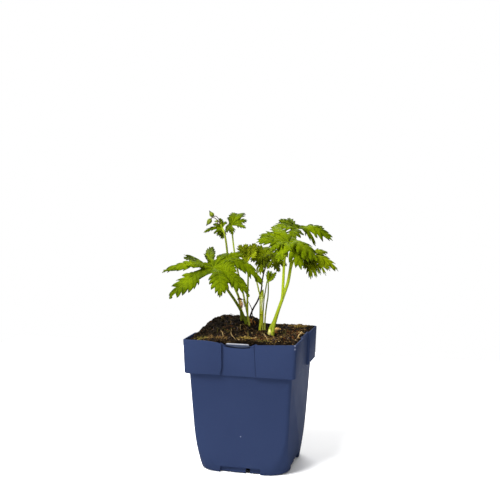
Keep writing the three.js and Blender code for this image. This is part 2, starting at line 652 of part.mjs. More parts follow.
// The flower stalk ends in a whorl of narrow bract leaves, with the buds above it on thin pedicels
const flowerStalk = {
  sinus: 0.42,
  hub: [-32.5, 2, 236.5],
  lobes: [
    { heading: -76, reach: 5.2, rise: -11, arch: 1, width: 1.4 },
    { heading: -109, reach: 8.5, rise: -7.5, arch: 1, width: 1.6 },
    { heading: -129, reach: 10.3, rise: -5.5, arch: 1, width: 1.6 },
    { heading: -162, reach: 19, rise: -4.5, arch: 2.5, twist: 45, width: 0.6 },
    { heading: -178, reach: 10, rise: 3.5, arch: 1.5, twist: 30, width: 1.5 },
    { heading: 138, reach: 4.5, rise: 10, arch: 1, width: 1.3 },
    { heading: 75, reach: 6.2, rise: 6.3, arch: 1, width: 1.5 },
  ],
  path: [[-18, 25, 126], [-18, 25, 136], [-19, 24, 153], [-21, 22, 165], [-24, 19, 174.5], [-27, 13, 195],
    [-28.6, 8, 208], [-28.5, 3.5, 218], [-28.4, -1.5, 226.8], [-29.2, -4.2, 233], [-31, -2.5, 235.9],
    [-32.5, 1.2, 236.8], [-34, 1, 240.5]],
  radii: [1.4, 1.2, 1, 0.9],
};

const budCluster = {
  foot: [-34.3, 0.8, 241],
  pedicelRadius: 0.5,
  buds: [
    { path: [[-36.5, 0.5, 245], [-38.6, 0, 248], [-41, -1, 248.5]], tip: [-45.4, -2, 254.2], size: 1 },
    { path: [[-37, -1, 244], [-40, -2.5, 246.4], [-42.2, -3.5, 247], [-43.4, -4, 245.6]], tip: [-47.4, -6, 239], size: 1 },
    { path: [[-36.4, -1, 242.8], [-38.5, -2.5, 243.6]], tip: [-41, -3.6, 243.4], size: 0.5 },
  ],
  // distance out from the middle and up from the base, for a bud of size 1
  profile: [[0, 0], [1.3, 0.3], [2.3, 1.8], [2.5, 3.2], [1.9, 5.2], [0.9, 6.8], [0.3, 8.2], [0, 8.4]],
};

const youngShoot = {
  path: [[5, 9.5, 123], [5, 9.5, 134], [7, 8, 149.5], [8, 8, 162], [9, 8, 175]],
  radii: [1.5, 1.6, 1.7, 2.4, 0.3],
};

addPiece("pot", nurseryPot(), materials.pot);
addPiece("label", plantLabel(), materials.label);

let soil = pottingSoil();
for (const [name, leaf] of Object.entries(leaves)) {
  soil = soil.subtract(stalk(leaf, gap));
  addPiece(name, largestBody(leafBlade(leaf).add(stalk(leaf))), leaf.dark ? materials.darkLeaf : materials.leaf);
}
soil = soil.subtract(stalk(flowerStalk, gap)).subtract(stalk(youngShoot, gap));
addPiece("flower_stalk", largestBody(leafBlade(flowerStalk).add(stalk(flowerStalk))), materials.leaf);
addPiece("flower_buds", flowerBuds(), materials.bud);
addPiece("young_shoot", stalk(youngShoot), materials.shoot);
addPiece("soil", soil, materials.soil);

export default geranium;
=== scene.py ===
import math
import random

import bmesh
import bpy
from mathutils import Matrix, Vector, noise


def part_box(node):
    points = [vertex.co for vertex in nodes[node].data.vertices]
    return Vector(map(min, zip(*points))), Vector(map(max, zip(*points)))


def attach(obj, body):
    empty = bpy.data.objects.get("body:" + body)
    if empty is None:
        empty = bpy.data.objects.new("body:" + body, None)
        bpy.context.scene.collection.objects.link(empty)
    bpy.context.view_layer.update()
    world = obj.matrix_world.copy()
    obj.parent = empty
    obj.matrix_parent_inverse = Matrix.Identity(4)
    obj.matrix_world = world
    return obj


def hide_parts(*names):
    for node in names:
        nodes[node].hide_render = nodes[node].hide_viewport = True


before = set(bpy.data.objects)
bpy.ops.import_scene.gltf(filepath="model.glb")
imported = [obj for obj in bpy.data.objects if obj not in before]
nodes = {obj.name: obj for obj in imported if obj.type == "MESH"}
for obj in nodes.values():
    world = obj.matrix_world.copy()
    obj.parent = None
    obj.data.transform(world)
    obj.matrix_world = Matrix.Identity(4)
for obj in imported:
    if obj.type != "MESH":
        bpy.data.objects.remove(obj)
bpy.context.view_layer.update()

mm = 0.001  # the plant is measured in millimetres, the scene is in metres
noise.seed_set(11)  # noise vectors come out the same each time


# camera, lights, room and floor

camera = {
    "azimuth": 14.18, "pitch": 5.5, "roll": 0.34, "distance": 0.943, "aimHeight": 0.2154, "aimShift": -0.0031,
    "lens": 67.82, "sensor": 36, "clipStart": 0.01,
}
lights = {
    "key": {"place": (-0.4, -0.8, 1.2), "aim": (0, 0, 0.12), "size": 0.6, "power": 38.0},
    "fill": {"place": (0.95, -0.75, 0.55), "aim": (0, 0, 0.12), "size": 0.9, "power": 2.2},
    "back": {"place": (-0.2, 1.0, 0.9), "aim": (0, 0, 0.2), "size": 0.8, "power": 14.0},
}
room = {"colour": (1, 1, 1), "backdrop": 1.0, "ambient": 0.4}  # white to the camera, dimmer as a light
floorLook = {"size": 1.1, "sink": 0.0003, "colour": (1, 1, 1), "finish": {"Roughness": 0.8}}


def addCamera():
    turn, pitch, roll = (math.radians(camera[angle]) for angle in ("azimuth", "pitch", "roll"))
    right = Vector((math.cos(turn), math.sin(turn), 0))
    back = Vector((math.sin(turn) * math.cos(pitch), -math.cos(turn) * math.cos(pitch), math.sin(pitch)))
    place = Vector((0, 0, camera["aimHeight"])) + right * camera["aimShift"] + back * camera["distance"]
    data = bpy.data.cameras.new("camera")
    data.lens = camera["lens"]
    data.sensor_width = camera["sensor"]
    data.clip_start = camera["clipStart"]
    stand = bpy.data.objects.new("camera", data)
    stand.matrix_world = (
        Matrix.Translation(place) @ Matrix.Rotation(turn, 4, "Z")
        @ Matrix.Rotation(math.pi / 2 - pitch, 4, "X") @ Matrix.Rotation(roll, 4, "Z")
    )
    bpy.context.scene.collection.objects.link(stand)
    bpy.context.scene.camera = stand


def addLights():
    for name, light in lights.items():
        data = bpy.data.lights.new(name, "AREA")
        data.shape = "DISK"
        data.size = light["size"]
        data.energy = light["power"]
        lamp = bpy.data.objects.new(name, data)
        lamp.location = light["place"]
        aim = Vector(light["aim"]) - lamp.location
        lamp.rotation_euler = aim.to_track_quat("-Z", "Y").to_euler()
        bpy.context.scene.collection.objects.link(lamp)


def addRoom():
    world = bpy.data.worlds.new("studio")
    world.use_nodes = True
    tree = world.node_tree
    seen = addNode(tree, "LightPath").outputs["Is Camera Ray"]
    strength = mathNode(tree, "MULTIPLY_ADD", seen, room["backdrop"] - room["ambient"], room["ambient"])
    setInputs(tree, tree.nodes["Background"], {"Color": room["colour"], "Strength": strength})
    bpy.context.scene.world = world
    bpy.context.scene.view_settings.view_transform = "Standard"


def addFloor():
    bm = bmesh.new()
    bmesh.ops.create_grid(bm, x_segments=1, y_segments=1, size=floorLook["size"] / 2)
    bmesh.ops.translate(bm, verts=bm.verts, vec=(0, 0, -floorLook["sink"]))
    material, tree, _ = newMaterial("paleFloor")
    finishShader(tree, floorLook["colour"], floorLook["finish"])
    keepMesh("studioFloor", bm, [material], unit=1, flat=True)


# helpers for meshes

def keepMesh(name, bm, materials, unit=mm, flat=False, node=None, slot=None):
    bmesh.ops.scale(bm, verts=bm.verts, vec=(unit, unit, unit))
    mesh = bpy.data.meshes.new(name)
    bm.to_mesh(mesh)
    bm.free()
    for material in materials:
        mesh.materials.append(material)
    if not flat:
        mesh.shade_smooth()
    piece = bpy.data.objects.new(name, mesh)
    bpy.context.scene.collection.objects.link(piece)
    if slot:
        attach(piece, "root")
    if node:
        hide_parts(node)
    return piece


def addTo(whole, part):
    mesh = bpy.data.meshes.new("part")
    part.to_mesh(mesh)
    part.free()
    whole.from_mesh(mesh)
    bpy.data.meshes.remove(mesh)


def roundEdges(bm, edges, size, segments=2, clamp=False):
    bmesh.ops.bevel(bm, geom=edges, affect="EDGES", offset=size * mm, offset_type="OFFSET",
                    segments=segments, profile=0.5, clamp_overlap=clamp, material=-1)


def onlyVerts(made):
    return [g for g in made if isinstance(g, bmesh.types.BMVert)]


def onlyEdges(made, ends):
    return [g for g in made if isinstance(g, bmesh.types.BMEdge) and ends.issuperset(g.verts)]


# helpers for materials: a colour is red, green and blue, and a length given to a node is in metres

def setInputs(tree, node, inputs):
    for name, value in inputs.items():
        socket = node.inputs[name]
        if isinstance(value, bpy.types.NodeSocket):
            tree.links.new(value, socket)
        else:
            socket.default_value = (*value, 1) if socket.type == "RGBA" else value


def newMaterial(name):
    material = bpy.data.materials.new(name)
    material.use_nodes = True
    tree = material.node_tree
    tree.nodes.clear()
    return material, tree, addNode(tree, "TexCoord").outputs["Object"]


def finishShader(tree, colour, finish, height=None, strength=0.0, depth=0.0):
    shader = addNode(tree, "BsdfPrincipled", {"Base Color": colour, **finish})
    if height is not None:
        bump = addNode(tree, "Bump", {"Height": height, "Strength": strength, "Distance": depth})
        tree.links.new(bump.outputs["Normal"], shader.inputs["Normal"])
    addNode(tree, "OutputMaterial", {"Surface": shader.outputs["BSDF"]})


def addNode(tree, kind, inputs=None, **settings):
    node = tree.nodes.new("ShaderNode" + kind)
    for key, value in settings.items():
        setattr(node, key, value)
    setInputs(tree, node, inputs or {})
    return node


def mathNode(tree, operation, *values):
    return addNode(tree, "Math", dict(enumerate(values)), operation=operation).outputs[0]


def mixNode(tree, amount, first, second, blend="MIX"):
    mix = addNode(tree, "MixRGB", {"Fac": amount, "Color1": first, "Color2": second}, blend_type=blend)
    return mix.outputs["Color"]


def tintNode(tree, colour, tint, amount, share):
    return mixNode(tree, mathNode(tree, "MULTIPLY", amount, share), colour, tint)


def rampNode(tree, value, stops):
    ramp = addNode(tree, "ValToRGB", {"Fac": value})
    elements = ramp.color_ramp.elements
    while len(elements) < len(stops):
        elements.new(0.5)
    for element, (place, colour) in zip(elements, stops):
        element.position = place
        element.color = (*colour, 1)
    return ramp.outputs["Color"]


def fadeNode(tree, value, near, far):
    limits = {"Value": value, "From Min": near, "From Max": far, "To Min": 1.0, "To Max": 0.0}
    return addNode(tree, "MapRange", limits, interpolation_type="SMOOTHSTEP").outputs["Result"]


def noiseNode(tree, coords, scale, detail=3.0, rough=0.55):
    grain = {"Vector": coords, "Scale": scale, "Detail": detail, "Roughness": rough}
    return addNode(tree, "TexNoise", grain).outputs["Fac"]


def streakNode(tree, coords, stretch):
    along = addNode(tree, "Mapping", {"Vector": coords, "Scale": stretch}).outputs["Vector"]
    return noiseNode(tree, along, 1.0)


def coordParts(tree, coords):
    return addNode(tree, "SeparateXYZ", {"Vector": coords}).outputs


def attributeNode(tree, name, output="Fac"):
    return addNode(tree, "Attribute", attribute_name=name).outputs[output]


# pot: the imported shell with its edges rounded, in slate blue moulded plastic

potLook = {
    "edgeRounding": 0.35, "mergeWithin": 0.01, "roundFrom": 40, "sharpFrom": 28,  # the last two in degrees
    "colour": (0.0215, 0.0325, 0.076), "shade": (0.017, 0.0265, 0.065), "cloudScale": 14,
    "scuff": (0.045, 0.052, 0.09), "scuffScale": 260, "scuffShare": 0.16,
    "dullness": 0.42, "dullnessSpread": 0.16, "dullnessScale": 40,
    "grainScale": 1100, "bump": (0.12, 0.0002), "finish": {"Specular IOR Level": 0.006},
    "paleSpot": (0.16, 0.18, 0.26), "paleSpotCore": 0.4,
    "paleSpots": [  # place, size
        ((54.4, -54.4, 131.2), 1.5), ((54.4, -54.4, 128.2), 1.5), ((0.4, -47, 37.7), 0.8),
    ],
}
creaseShade = {  # painted shade in the fold at the right of the front recess
    "top": 14.9, "bottom": 17.2, "high": 127, "low": 99.5, "front": -50,
    "core": 0.1, "width": 0.6, "share": 0.75, "colour": (0.006, 0.009, 0.022),
}


def creaseShadeLine(tree, coords):
    lean = (creaseShade["top"] - creaseShade["bottom"]) / (creaseShade["high"] - creaseShade["low"])
    place = coordParts(tree, coords)
    line = mathNode(tree, "MULTIPLY_ADD", place["Z"], lean, (creaseShade["top"] - lean * creaseShade["high"]) * mm)
    away = mathNode(tree, "ABSOLUTE", mathNode(tree, "SUBTRACT", place["X"], line))
    near = fadeNode(tree, away, creaseShade["core"] * mm, creaseShade["width"] * mm)
    front = mathNode(tree, "LESS_THAN", place["Y"], creaseShade["front"] * mm)
    above = mathNode(tree, "GREATER_THAN", place["Z"], creaseShade["low"] * mm)
    near = mathNode(tree, "MULTIPLY", near, creaseShade["share"])
    return mathNode(tree, "MULTIPLY", near, mathNode(tree, "MULTIPLY", front, above))


def potMaterial():
    material, tree, coords = newMaterial("slateBluePlastic")
    cloud = noiseNode(tree, coords, potLook["cloudScale"])
    colour = mixNode(tree, cloud, potLook["shade"], potLook["colour"])
    scuffs = noiseNode(tree, coords, potLook["scuffScale"], 5, 0.65)
    scuffs = rampNode(tree, scuffs, [(0.6, (0, 0, 0)), (0.78, (1, 1, 1))])
    colour = tintNode(tree, colour, potLook["scuff"], scuffs, potLook["scuffShare"])
    # painted shade along the fold at the right of the front recess, darkening the colour there
    colour = mixNode(tree, creaseShadeLine(tree, coords), colour, creaseShade["colour"])
    # small pale spots near the rim's front right corner and low on the front
    for place, size in potLook["paleSpots"]:
        middle = [c * mm for c in place]
        away = addNode(tree, "VectorMath", {0: coords, 1: middle}, operation="DISTANCE").outputs["Value"]
        outside = fadeNode(tree, away, size * potLook["paleSpotCore"] * mm, size * mm)
        colour = mixNode(tree, outside, colour, potLook["paleSpot"])
    dull = noiseNode(tree, coords, potLook["dullnessScale"], 4)
    dull = mathNode(tree, "MULTIPLY_ADD", dull, potLook["dullnessSpread"], potLook["dullness"])
    grain = noiseNode(tree, coords, potLook["grainScale"], 2)
    finishShader(tree, colour, {"Roughness": dull, **potLook["finish"]}, grain, *potLook["bump"])
    return material


def buildPot():
    bm = bmesh.new()
    bm.from_mesh(nodes["pot"].data)
    bmesh.ops.remove_doubles(bm, verts=bm.verts, dist=potLook["mergeWithin"] * mm)
    bmesh.ops.dissolve_limit(bm, angle_limit=math.radians(1), verts=bm.verts, edges=bm.edges)
    sharp = math.radians(potLook["roundFrom"])
    edges = [e for e in bm.edges if len(e.link_faces) == 2 and e.calc_face_angle() > sharp]
    roundEdges(bm, edges, potLook["edgeRounding"], clamp=True)
    pot = keepMesh("potShell", bm, [potMaterial()], unit=1, node="pot", slot="pot")
    pot.data.set_sharp_from_angle(angle=math.radians(potLook["sharpFrom"]))


# plant label in its pocket behind the front rim

labelLook = {
    "rounding": 0.25, "corner": 2.5, "band": 0.8, "bandFade": 0.3,
    "paper": (0.42, 0.42, 0.44), "streak": (0.12, 0.13, 0.17), "streakScale": 420,
    "field": (0.02, 0.027, 0.048), "pale": (0.042, 0.052, 0.082), "mottleScale": 260,
    "grainScale": 700, "bump": (0.05, 0.0002), "finish": {"Roughness": 0.4, "Specular IOR Level": 0.03},
}
labelGapShadow = {  # painted shadow in the gap below the rim, following the dip of the rim
    "colour": (0.006, 0.008, 0.016), "low": 125.7, "rise": 1.7, "half": 13, "near": 0.5, "far": 1.1,
}


def labelMaterial(topEdge):
    material, tree, coords = newMaterial("labelPlastic")
    place = coordParts(tree, coords)
    band, bandEnd = labelLook["band"] * mm, (labelLook["band"] + labelLook["bandFade"]) * mm
    edgeBand = fadeNode(tree, mathNode(tree, "SUBTRACT", topEdge, place["Z"]), band, bandEnd)
    mottle = noiseNode(tree, coords, labelLook["mottleScale"])
    mottle = mixNode(tree, mottle, labelLook["field"], labelLook["pale"])
    across = mathNode(tree, "POWER", mathNode(tree, "DIVIDE", place["X"], labelGapShadow["half"] * mm), 2.0)
    dip = mathNode(tree, "MULTIPLY_ADD", across, labelGapShadow["rise"] * mm, labelGapShadow["low"] * mm)
    aboveDip = mathNode(tree, "SUBTRACT", place["Z"], dip)
    gapShadow = fadeNode(tree, aboveDip, labelGapShadow["near"] * mm, labelGapShadow["far"] * mm)
    # painted shadow along the gap under the rim's dip
    mottle = mixNode(tree, gapShadow, mottle, labelGapShadow["colour"])
    streaks = noiseNode(tree, coords, labelLook["streakScale"], 4, 0.7)
    streaks = mixNode(tree, streaks, labelLook["streak"], labelLook["paper"])
    colour = mixNode(tree, edgeBand, mottle, streaks)
    grain = noiseNode(tree, coords, labelLook["grainScale"], 2)
    finishShader(tree, colour, labelLook["finish"], grain, *labelLook["bump"])
    return material


def buildLabel():
    low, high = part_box("label")
    bm = bmesh.new()
    bmesh.ops.create_cube(bm, size=1)
    bmesh.ops.scale(bm, verts=bm.verts, vec=high - low)
    bmesh.ops.translate(bm, verts=bm.verts, vec=(low + high) / 2)
    corners = [e for e in bm.edges if abs(e.verts[0].co.y - e.verts[1].co.y) > 0.1 * mm]
    roundEdges(bm, corners, labelLook["corner"], segments=5)
    rims = [e for e in bm.edges if e.calc_face_angle() > math.radians(60)]
    roundEdges(bm, rims, labelLook["rounding"])
    keepMesh("plantLabel", bm, [labelMaterial(high.z)], unit=1, flat=True, node="label", slot="label")


# leaves: each lobe is a grid laid along its rib, with its side veins running out to the teeth

# one side of a lobe: where the vein leaves the rib, where it ends, how far out, and its place among the veins
lobeSide = [
    (0.36, 0.41, 0.13, 1.6),
    (0.41, 0.5, 0.17, 1.8),
    (0.46, 0.66, 0.245, 2.0),
    (0.53, 0.56, 0.105, 2.5),
    (0.62, 0.85, 0.185, 3.0),
    (0.71, 0.75, 0.075, 3.5),
    (0.81, 0.96, 0.095, 4.0),
    (0.9, 0.91, 0.035, 4.5),
    (1.0, 1.0, 0.0, 5.0),
]
toothedSide = [  # the same for the large leaf, whose lobes have more and shallower teeth
    (0.36, 0.4, 0.13, 1.6),
    (0.39, 0.49, 0.195, 2.0),
    (0.43, 0.465, 0.165, 2.5),
    (0.47, 0.605, 0.245, 3.0),
    (0.53, 0.57, 0.185, 3.5),
    (0.57, 0.73, 0.235, 4.0),
    (0.64, 0.685, 0.16, 4.5),
    (0.68, 0.84, 0.19, 5.0),
    (0.76, 0.795, 0.11, 5.5),
    (0.8, 0.92, 0.115, 6.0),
    (0.87, 0.88, 0.055, 6.5),
    (0.9, 0.97, 0.048, 7.0),
    (0.945, 0.955, 0.02, 7.5),
    (1.0, 1.0, 0.0, 8.0),
]
bladeShape = {
    "thickness": 0.35, "columns": 5, "palmRows": 6, "rowsBetweenVeins": 3, "mergeWithin": 0.02,
    "sinusOut": 0.12, "footOut": 0.1, "palmVein": 1.5, "fold": 0.15, "twistedFrom": 0.5,
    "bulge": 0.1, "quilting": 0.35, "quiltedFrom": 5, "waves": 0.05, "wavyFrom": 6, "wavesPerRow": 0.21,
    "veinSpace": 0.17, "toneSpread": 0.12, "teethFrom": 0.1, "teethSpread": (0.93, 1.08),
    "lowerSwell": 0.018, "upperSwell": 0.006, "tipSwell": 0.008, "tipWidth": 0.05,
}


def lobe(heading, reach, rise, arch, width=1, twist=0, bow=0):
    # heading in degrees from +X towards +Y, how far out and up the tip lies, how high the rib arches
    return {"heading": heading, "reach": reach, "rise": rise, "arch": arch,
            "width": width, "twist": twist, "bow": bow}


# dark marks the leaves that sit in shade; their dark look is a paler copy of the green, as painted light
usualLeaf = {"facing": (0, 0, 1), "outline": lobeSide, "sinus": 0.3, "dark": False, "stalkLook": "green"}
# each leaf's tone is matched to how bright it looks, so it holds painted light and shade along with the
# leaf's own lighter or darker green
leaves = {
    "leaf_front_left": {
        "hub": (-35, -20, 198), "sinus": 0.34, "outline": toothedSide, "tone": 0.57, "stalkLook": "clump",
        "lobes": [
            lobe(0, 23.5, -3, 4, width=1.5, twist=-60),
            lobe(-16, 40.5, -25.5, 7, width=0.7, twist=-30),
            lobe(-63, 31, -25, 7, width=1.1, bow=-2.5),
            lobe(-143, 46.5, -28, 5.5, width=0.75, twist=50),
            lobe(-156, 29.5, 5.5, 1.5, width=0.9, twist=30),
            lobe(-168, 51.5, -4.5, 6, width=0.5, twist=30),
            lobe(156, 40, 7, 2.5, width=1.1, twist=-35),
            lobe(127, 26, 9, 2, width=1.15, twist=-60),
            lobe(108, 37, 18, 1.5, width=0.56, twist=-20, bow=-3),
            lobe(72, 26, 13, 4, width=0.9),
            lobe(46, 34, 12.6, 3, width=0.8, twist=-40),
            lobe(19, 49, -18, 15.5, width=0.62, twist=-45),
        ],
        "path": [(-10.5, 18, 125), (-11.2, 18, 136), (-15.4, 16.5, 148.5), (-20, 11, 159.5),
                 (-24.5, 4, 169.5), (-27.5, -4, 177.5), (-31.5, -15, 189), (-35, -20, 197.8)],
        "radii": (1.6, 1.4, 1.1),
    },
    "leaf_top_left": {
        "hub": (-24, 6, 239), "sinus": 0.42, "tone": 0.38,
        "lobes": [
            lobe(-73, 14.5, -8.5, 2, width=0.9),
            lobe(-118, 9, -7.2, 1.5, width=1.7),
            lobe(-172, 6.5, -2.5, 1, width=1.7, twist=40),
            lobe(118, 11.5, 8, 2),
            lobe(98, 18.5, 12, 3, width=0.95),
            lobe(64, 18.5, 12, 3, width=1.4),
            lobe(22, 16, 5, 2, width=1.4, twist=-30),
            lobe(-20, 17.5, -2, 2, width=0.9, twist=-30),
        ],
        "path": [(-8.5, 21, 125), (-9, 21, 136), (-11.5, 22, 148.5), (-14.5, 17, 169), (-17.5, 8, 191),
                 (-20.5, 5, 211), (-22.5, 5, 226), (-24, 6, 238.8)],
        "radii": (1.2, 0.9, 0.75),
    },
    "leaf_folded": {
        "hub": (-11, 22, 200.5), "facing": (0.2, -0.8, 0.5), "sinus": 0.4, "tone": 0.75, "dark": True,
        # the folded look is a paler copy of the green, as painted light where the blades face away from the
        # lamps
        "look": "folded",
        "lobes": [
            lobe(-125, 9.5, -8.5, 1, width=1.4),
            lobe(-151, 10.5, 10.5, 2, width=1.1),
            lobe(169, 10.5, 17.5, 2, width=1.1),
            lobe(115, 13, 18, 2, width=1.1),
            lobe(68, 13, 19, 2, width=1.1),
            lobe(0, 9, 11, 1, width=1.3),
            lobe(-50, 4, 17, 0, width=0.55, twist=-40),
        ],
        "path": [(-12, 27, 125), (-12, 27, 136), (-13, 29, 158), (-12, 27, 176), (-11, 24, 191),
                 (-11, 22, 200.3)],
        "radii": (1.2, 1, 0.8),
    },
    "leaf_middle": {
        "hub": (3, 38, 207.5), "sinus": 0.4, "tone": 0.55, "dark": True,
        "lobes": [
            lobe(-96, 14, -20, 4, width=1.15),
            lobe(-125, 12, -12, 4, width=1.9),
            lobe(-158, 14.5, -8, 4, width=1.6, twist=40),
            lobe(174, 15.5, -1, 4, width=1.5, twist=50),
            lobe(150, 16, 5.5, 3, width=1.5, twist=40),
            lobe(94, 14, 6.5, 2, width=1.7),
            lobe(54, 16, 4, 2, width=1.7),
            lobe(9, 14, -3, 3, width=1.9, twist=-30),
            lobe(-27, 14, -9, 4, width=1.9),
            lobe(-58, 10, -13, 3, width=1.8),
        ],
        "path": [(0, 25, 125), (1.5, 25, 136), (0.5, 30, 161.5), (-1.5, 30, 172), (-3.5, 30, 182.5),
                 (-2, 31, 196), (3, 38, 207.3)],
        "radii": (1, 0.8, 0.7),
    },
    "leaf_under": {
        "hub": (15, 22, 202.5), "sinus": 0.36, "tone": 0.15, "dark": True, "stalkLook": "purple",
        "lobes": [
            lobe(-112, 8.5, -7.5, 1, width=1.4),
            lobe(57, 14.5, 4, 2, width=1.5, twist=-50),
            lobe(30, 16, 6, 2, width=1.3, twist=-50),
            lobe(8, 15, -5, 2, width=1.6, twist=-40),
            lobe(-27, 9, -11, 2, width=2),
        ],
        "path": [(-13, 33, 125), (-12.7, 33, 136), (-8.9, 35, 149), (-3.5, 35.5, 159), (0.5, 34, 170),
                 (2.2, 31, 180.5), (6, 25, 192.5), (10, 22, 199), (15, 22, 202.3)],
        "radii": (1, 0.8, 0.7),
    },
    "leaf_front_right": {
        "hub": (37.5, -6, 224.5), "sinus": 0.38, "tone": 0.78, "stalkLook": "pale",
        "lobes": [
            lobe(-26, 25, -18, 9, width=2),
            lobe(-49, 25, -24.5, 8, width=1.5),
            lobe(-106, 22, -18, 6, width=1.6),
            lobe(-135, 22.7, -7.4, 4, width=1.5, twist=10),
            lobe(-159, 32, 0.5, 3, width=1.1, twist=35),
            lobe(171, 31.5, 6, 3, width=1.15, twist=35),
            lobe(138, 27, 14, 3, width=1.2, twist=8),
            lobe(32, 26, -8, 4, width=1.1, twist=-20),
            lobe(-6, 29.5, -18, 7, width=1.8, twist=-15),
        ],
        "path": [(23.5, -12, 121), (23.5, -12, 132), (24.5, -11, 141.5), (28.5, -10, 156.5), (32, -9, 168.5),
                 (33, -9, 184.5), (33.5, -8.5, 199.5), (34.5, -7.5, 213), (37.5, -6, 224.3)],
        "radii": (1.7, 1.5, 1.2),
    },
    "leaf_top_right": {
        "hub": (38, 36, 235), "tone": 0.5, "stalkLook": "pale",
        "lobes": [
            lobe(-98, 19.5, -10, 3, width=2.1),
            lobe(-147, 26, 2.5, 2, width=1.35, twist=30),
            lobe(166, 22, 8, 2, width=1.25, twist=35),
            lobe(126, 21.5, 10, 1.5, width=0.9, bow=-2),
            lobe(36, 30.5, 0, 2, width=0.8, twist=-30),
            lobe(14, 36, -12, 6, width=0.9, twist=-50),
            lobe(-6, 19.5, -17, 7, width=0.95, twist=-15),
        ],
        "path": [(19.5, -9, 121), (19.5, -9, 132), (20, -7, 137.5), (23.5, -5, 145.5), (28, -2, 159.5),
                 (32, 2, 173), (35, 5, 184), (36.5, 9, 197.8), (36, 16, 209.3), (36, 27, 224),
                 (38, 36, 234.8)],
        "radii": (2, 1.8, 1.6, 1.1),
    },
    "leaf_low_right": {
        "hub": (55.5, 6, 210.5), "tone": 0.6, "dark": True,
        "lobes": [
            lobe(-93, 15, -12, 2, width=1.2),
            lobe(-73, 20, -21, 4, width=0.7),
            lobe(-55, 18.5, -20, 4, width=0.6),
            lobe(-38, 18, -17.5, 4, width=0.6),
            lobe(-23, 20.5, -18, 5, width=0.55, twist=-20),
            lobe(-8, 22.5, -14, 4, width=0.75, twist=-40),
            lobe(4, 29.5, -14.5, 5, width=0.7, twist=-40),
            lobe(26, 23, -6, 3, width=0.9, twist=-40),
            lobe(45, 23, 2.5, 3, width=1.1, twist=-30),
        ],
        "path": [(18, -2, 122), (18, -2, 132), (21, 2, 143), (26.5, 6, 158), (30.5, 10, 172), (33.5, 13, 183),
                 (35.5, 16, 196.5), (38.5, 17, 205), (46, 13, 210), (55.5, 6, 210.3)],
        "radii": (1.5, 1.3, 1),
    },
    "leaf_young": {
        "hub": (14.5, 2, 182.5), "facing": (0.2, -0.9, 0.3), "tone": 0.9, "stalkLook": "olive",
        "lobes": [
            lobe(14, 1, 13, 0, width=0.8),
            lobe(49, 5, 12, 0, width=0.8),
            lobe(21, 9, 11, 0, width=0.8),
            lobe(-8, 8, 8, 0, width=0.8),
        ],
        "stalks": [
            ([(8, 10.5, 125), (8.3, 10, 146), (9.1, 9, 159), (10.3, 7, 167.5), (12.2, 4, 175), (14, 2, 184)],
             (0.7, 0.6, 0.6)),
            ([(10, 12, 125), (10.2, 11, 143), (12.4, 9, 160), (13.9, 7, 166.5), (15, 4, 175), (15.4, 2, 184)],
             (0.8, 0.7, 0.65)),
        ],
    },
    "flower_stalk": {
        "hub": (-32.5, 2, 236.5), "sinus": 0.42, "tone": 0.5, "stalkLook": "flower",
        "lobes": [
            lobe(-76, 5.2, -11, 1, width=1.4),
            lobe(-109, 8.5, -7.5, 1, width=1.6),
            lobe(-129, 10.3, -5.5, 1, width=1.6),
            lobe(-162, 19, -4.5, 2.5, width=0.6, twist=45),
            lobe(-178, 10, 3.5, 1.5, width=1.5, twist=30),
            lobe(138, 4.5, 10, 1, width=1.3),
            lobe(75, 6.2, 6.3, 1, width=1.5),
        ],
        "path": [(-18, 25, 126), (-18, 25, 136), (-19, 24, 153), (-21, 22, 165), (-24, 19, 174.5),
                 (-27, 13, 195), (-28.6, 8, 208), (-28.5, 3.5, 218), (-28.4, -1.5, 226.8),
                 (-29.2, -4.2, 233), (-31, -2.5, 235.9), (-32.5, 1.2, 236.8), (-34, 1, 240.5)],
        "radii": (1.4, 1.2, 1, 0.9),
    },
}


def curvePoint(rib, t):
    start, bow, end = rib
    return start * (1 - t) ** 2 + bow * 2 * t * (1 - t) + end * t * t


def curveTangent(rib, t):
    start, bow, end = rib
    return ((bow - start) * (1 - t) + (end - bow) * t).normalized()


def lobeRib(hub, shape):
    turn = math.radians(shape["heading"])
    tip = Vector((math.cos(turn) * shape["reach"], math.sin(turn) * shape["reach"], shape["rise"]))
    sideways = Vector((math.sin(turn), -math.cos(turn), 0)) * shape["bow"]
    bow = hub + tip / 2 + 2 * sideways + Vector((0, 0, 2 * shape["arch"]))
    return hub.copy(), bow, hub + tip


def besideRib(rib, shape, facing, at, side, out):
    chord = rib[2] - rib[0]
    across = chord.cross(facing).normalized()
    up = across.cross(curveTangent(rib, at)).normalized()
    twist = math.radians(shape["twist"]) * min(1, at / bladeShape["twistedFrom"])
    width = out * chord.length * shape["width"]
    lift = side * width * math.sin(twist) - width * bladeShape["fold"]
    return curvePoint(rib, at) + (across * side * width * math.cos(twist) + up * lift), up


def sideRows(outline, sinus, dice):
    # rows of one lobe side beyond the sinus: rib place, edge place, distance out, vein place
    rows, last = [], (sinus, sinus, bladeShape["sinusOut"], bladeShape["palmVein"])
    steps = bladeShape["rowsBetweenVeins"]
    for at, end, out, vein in outline:
        if at <= sinus:
            continue
        if out > bladeShape["teethFrom"]:
            out *= dice.uniform(*bladeShape["teethSpread"])
        swell = bladeShape["lowerSwell" if out > last[2] else "upperSwell"]
        if out == 0 and last[2] <= bladeShape["tipWidth"]:
            swell = bladeShape["tipSwell"]
        row = (at, end, out, vein)
        for step in range(1, steps + 1):
            t = step / steps
            rows.append([a + (b - a) * t for a, b in zip(last, row)])
            rows[-1][2] += swell * math.sin(math.pi * t)
        last = row
    return rows


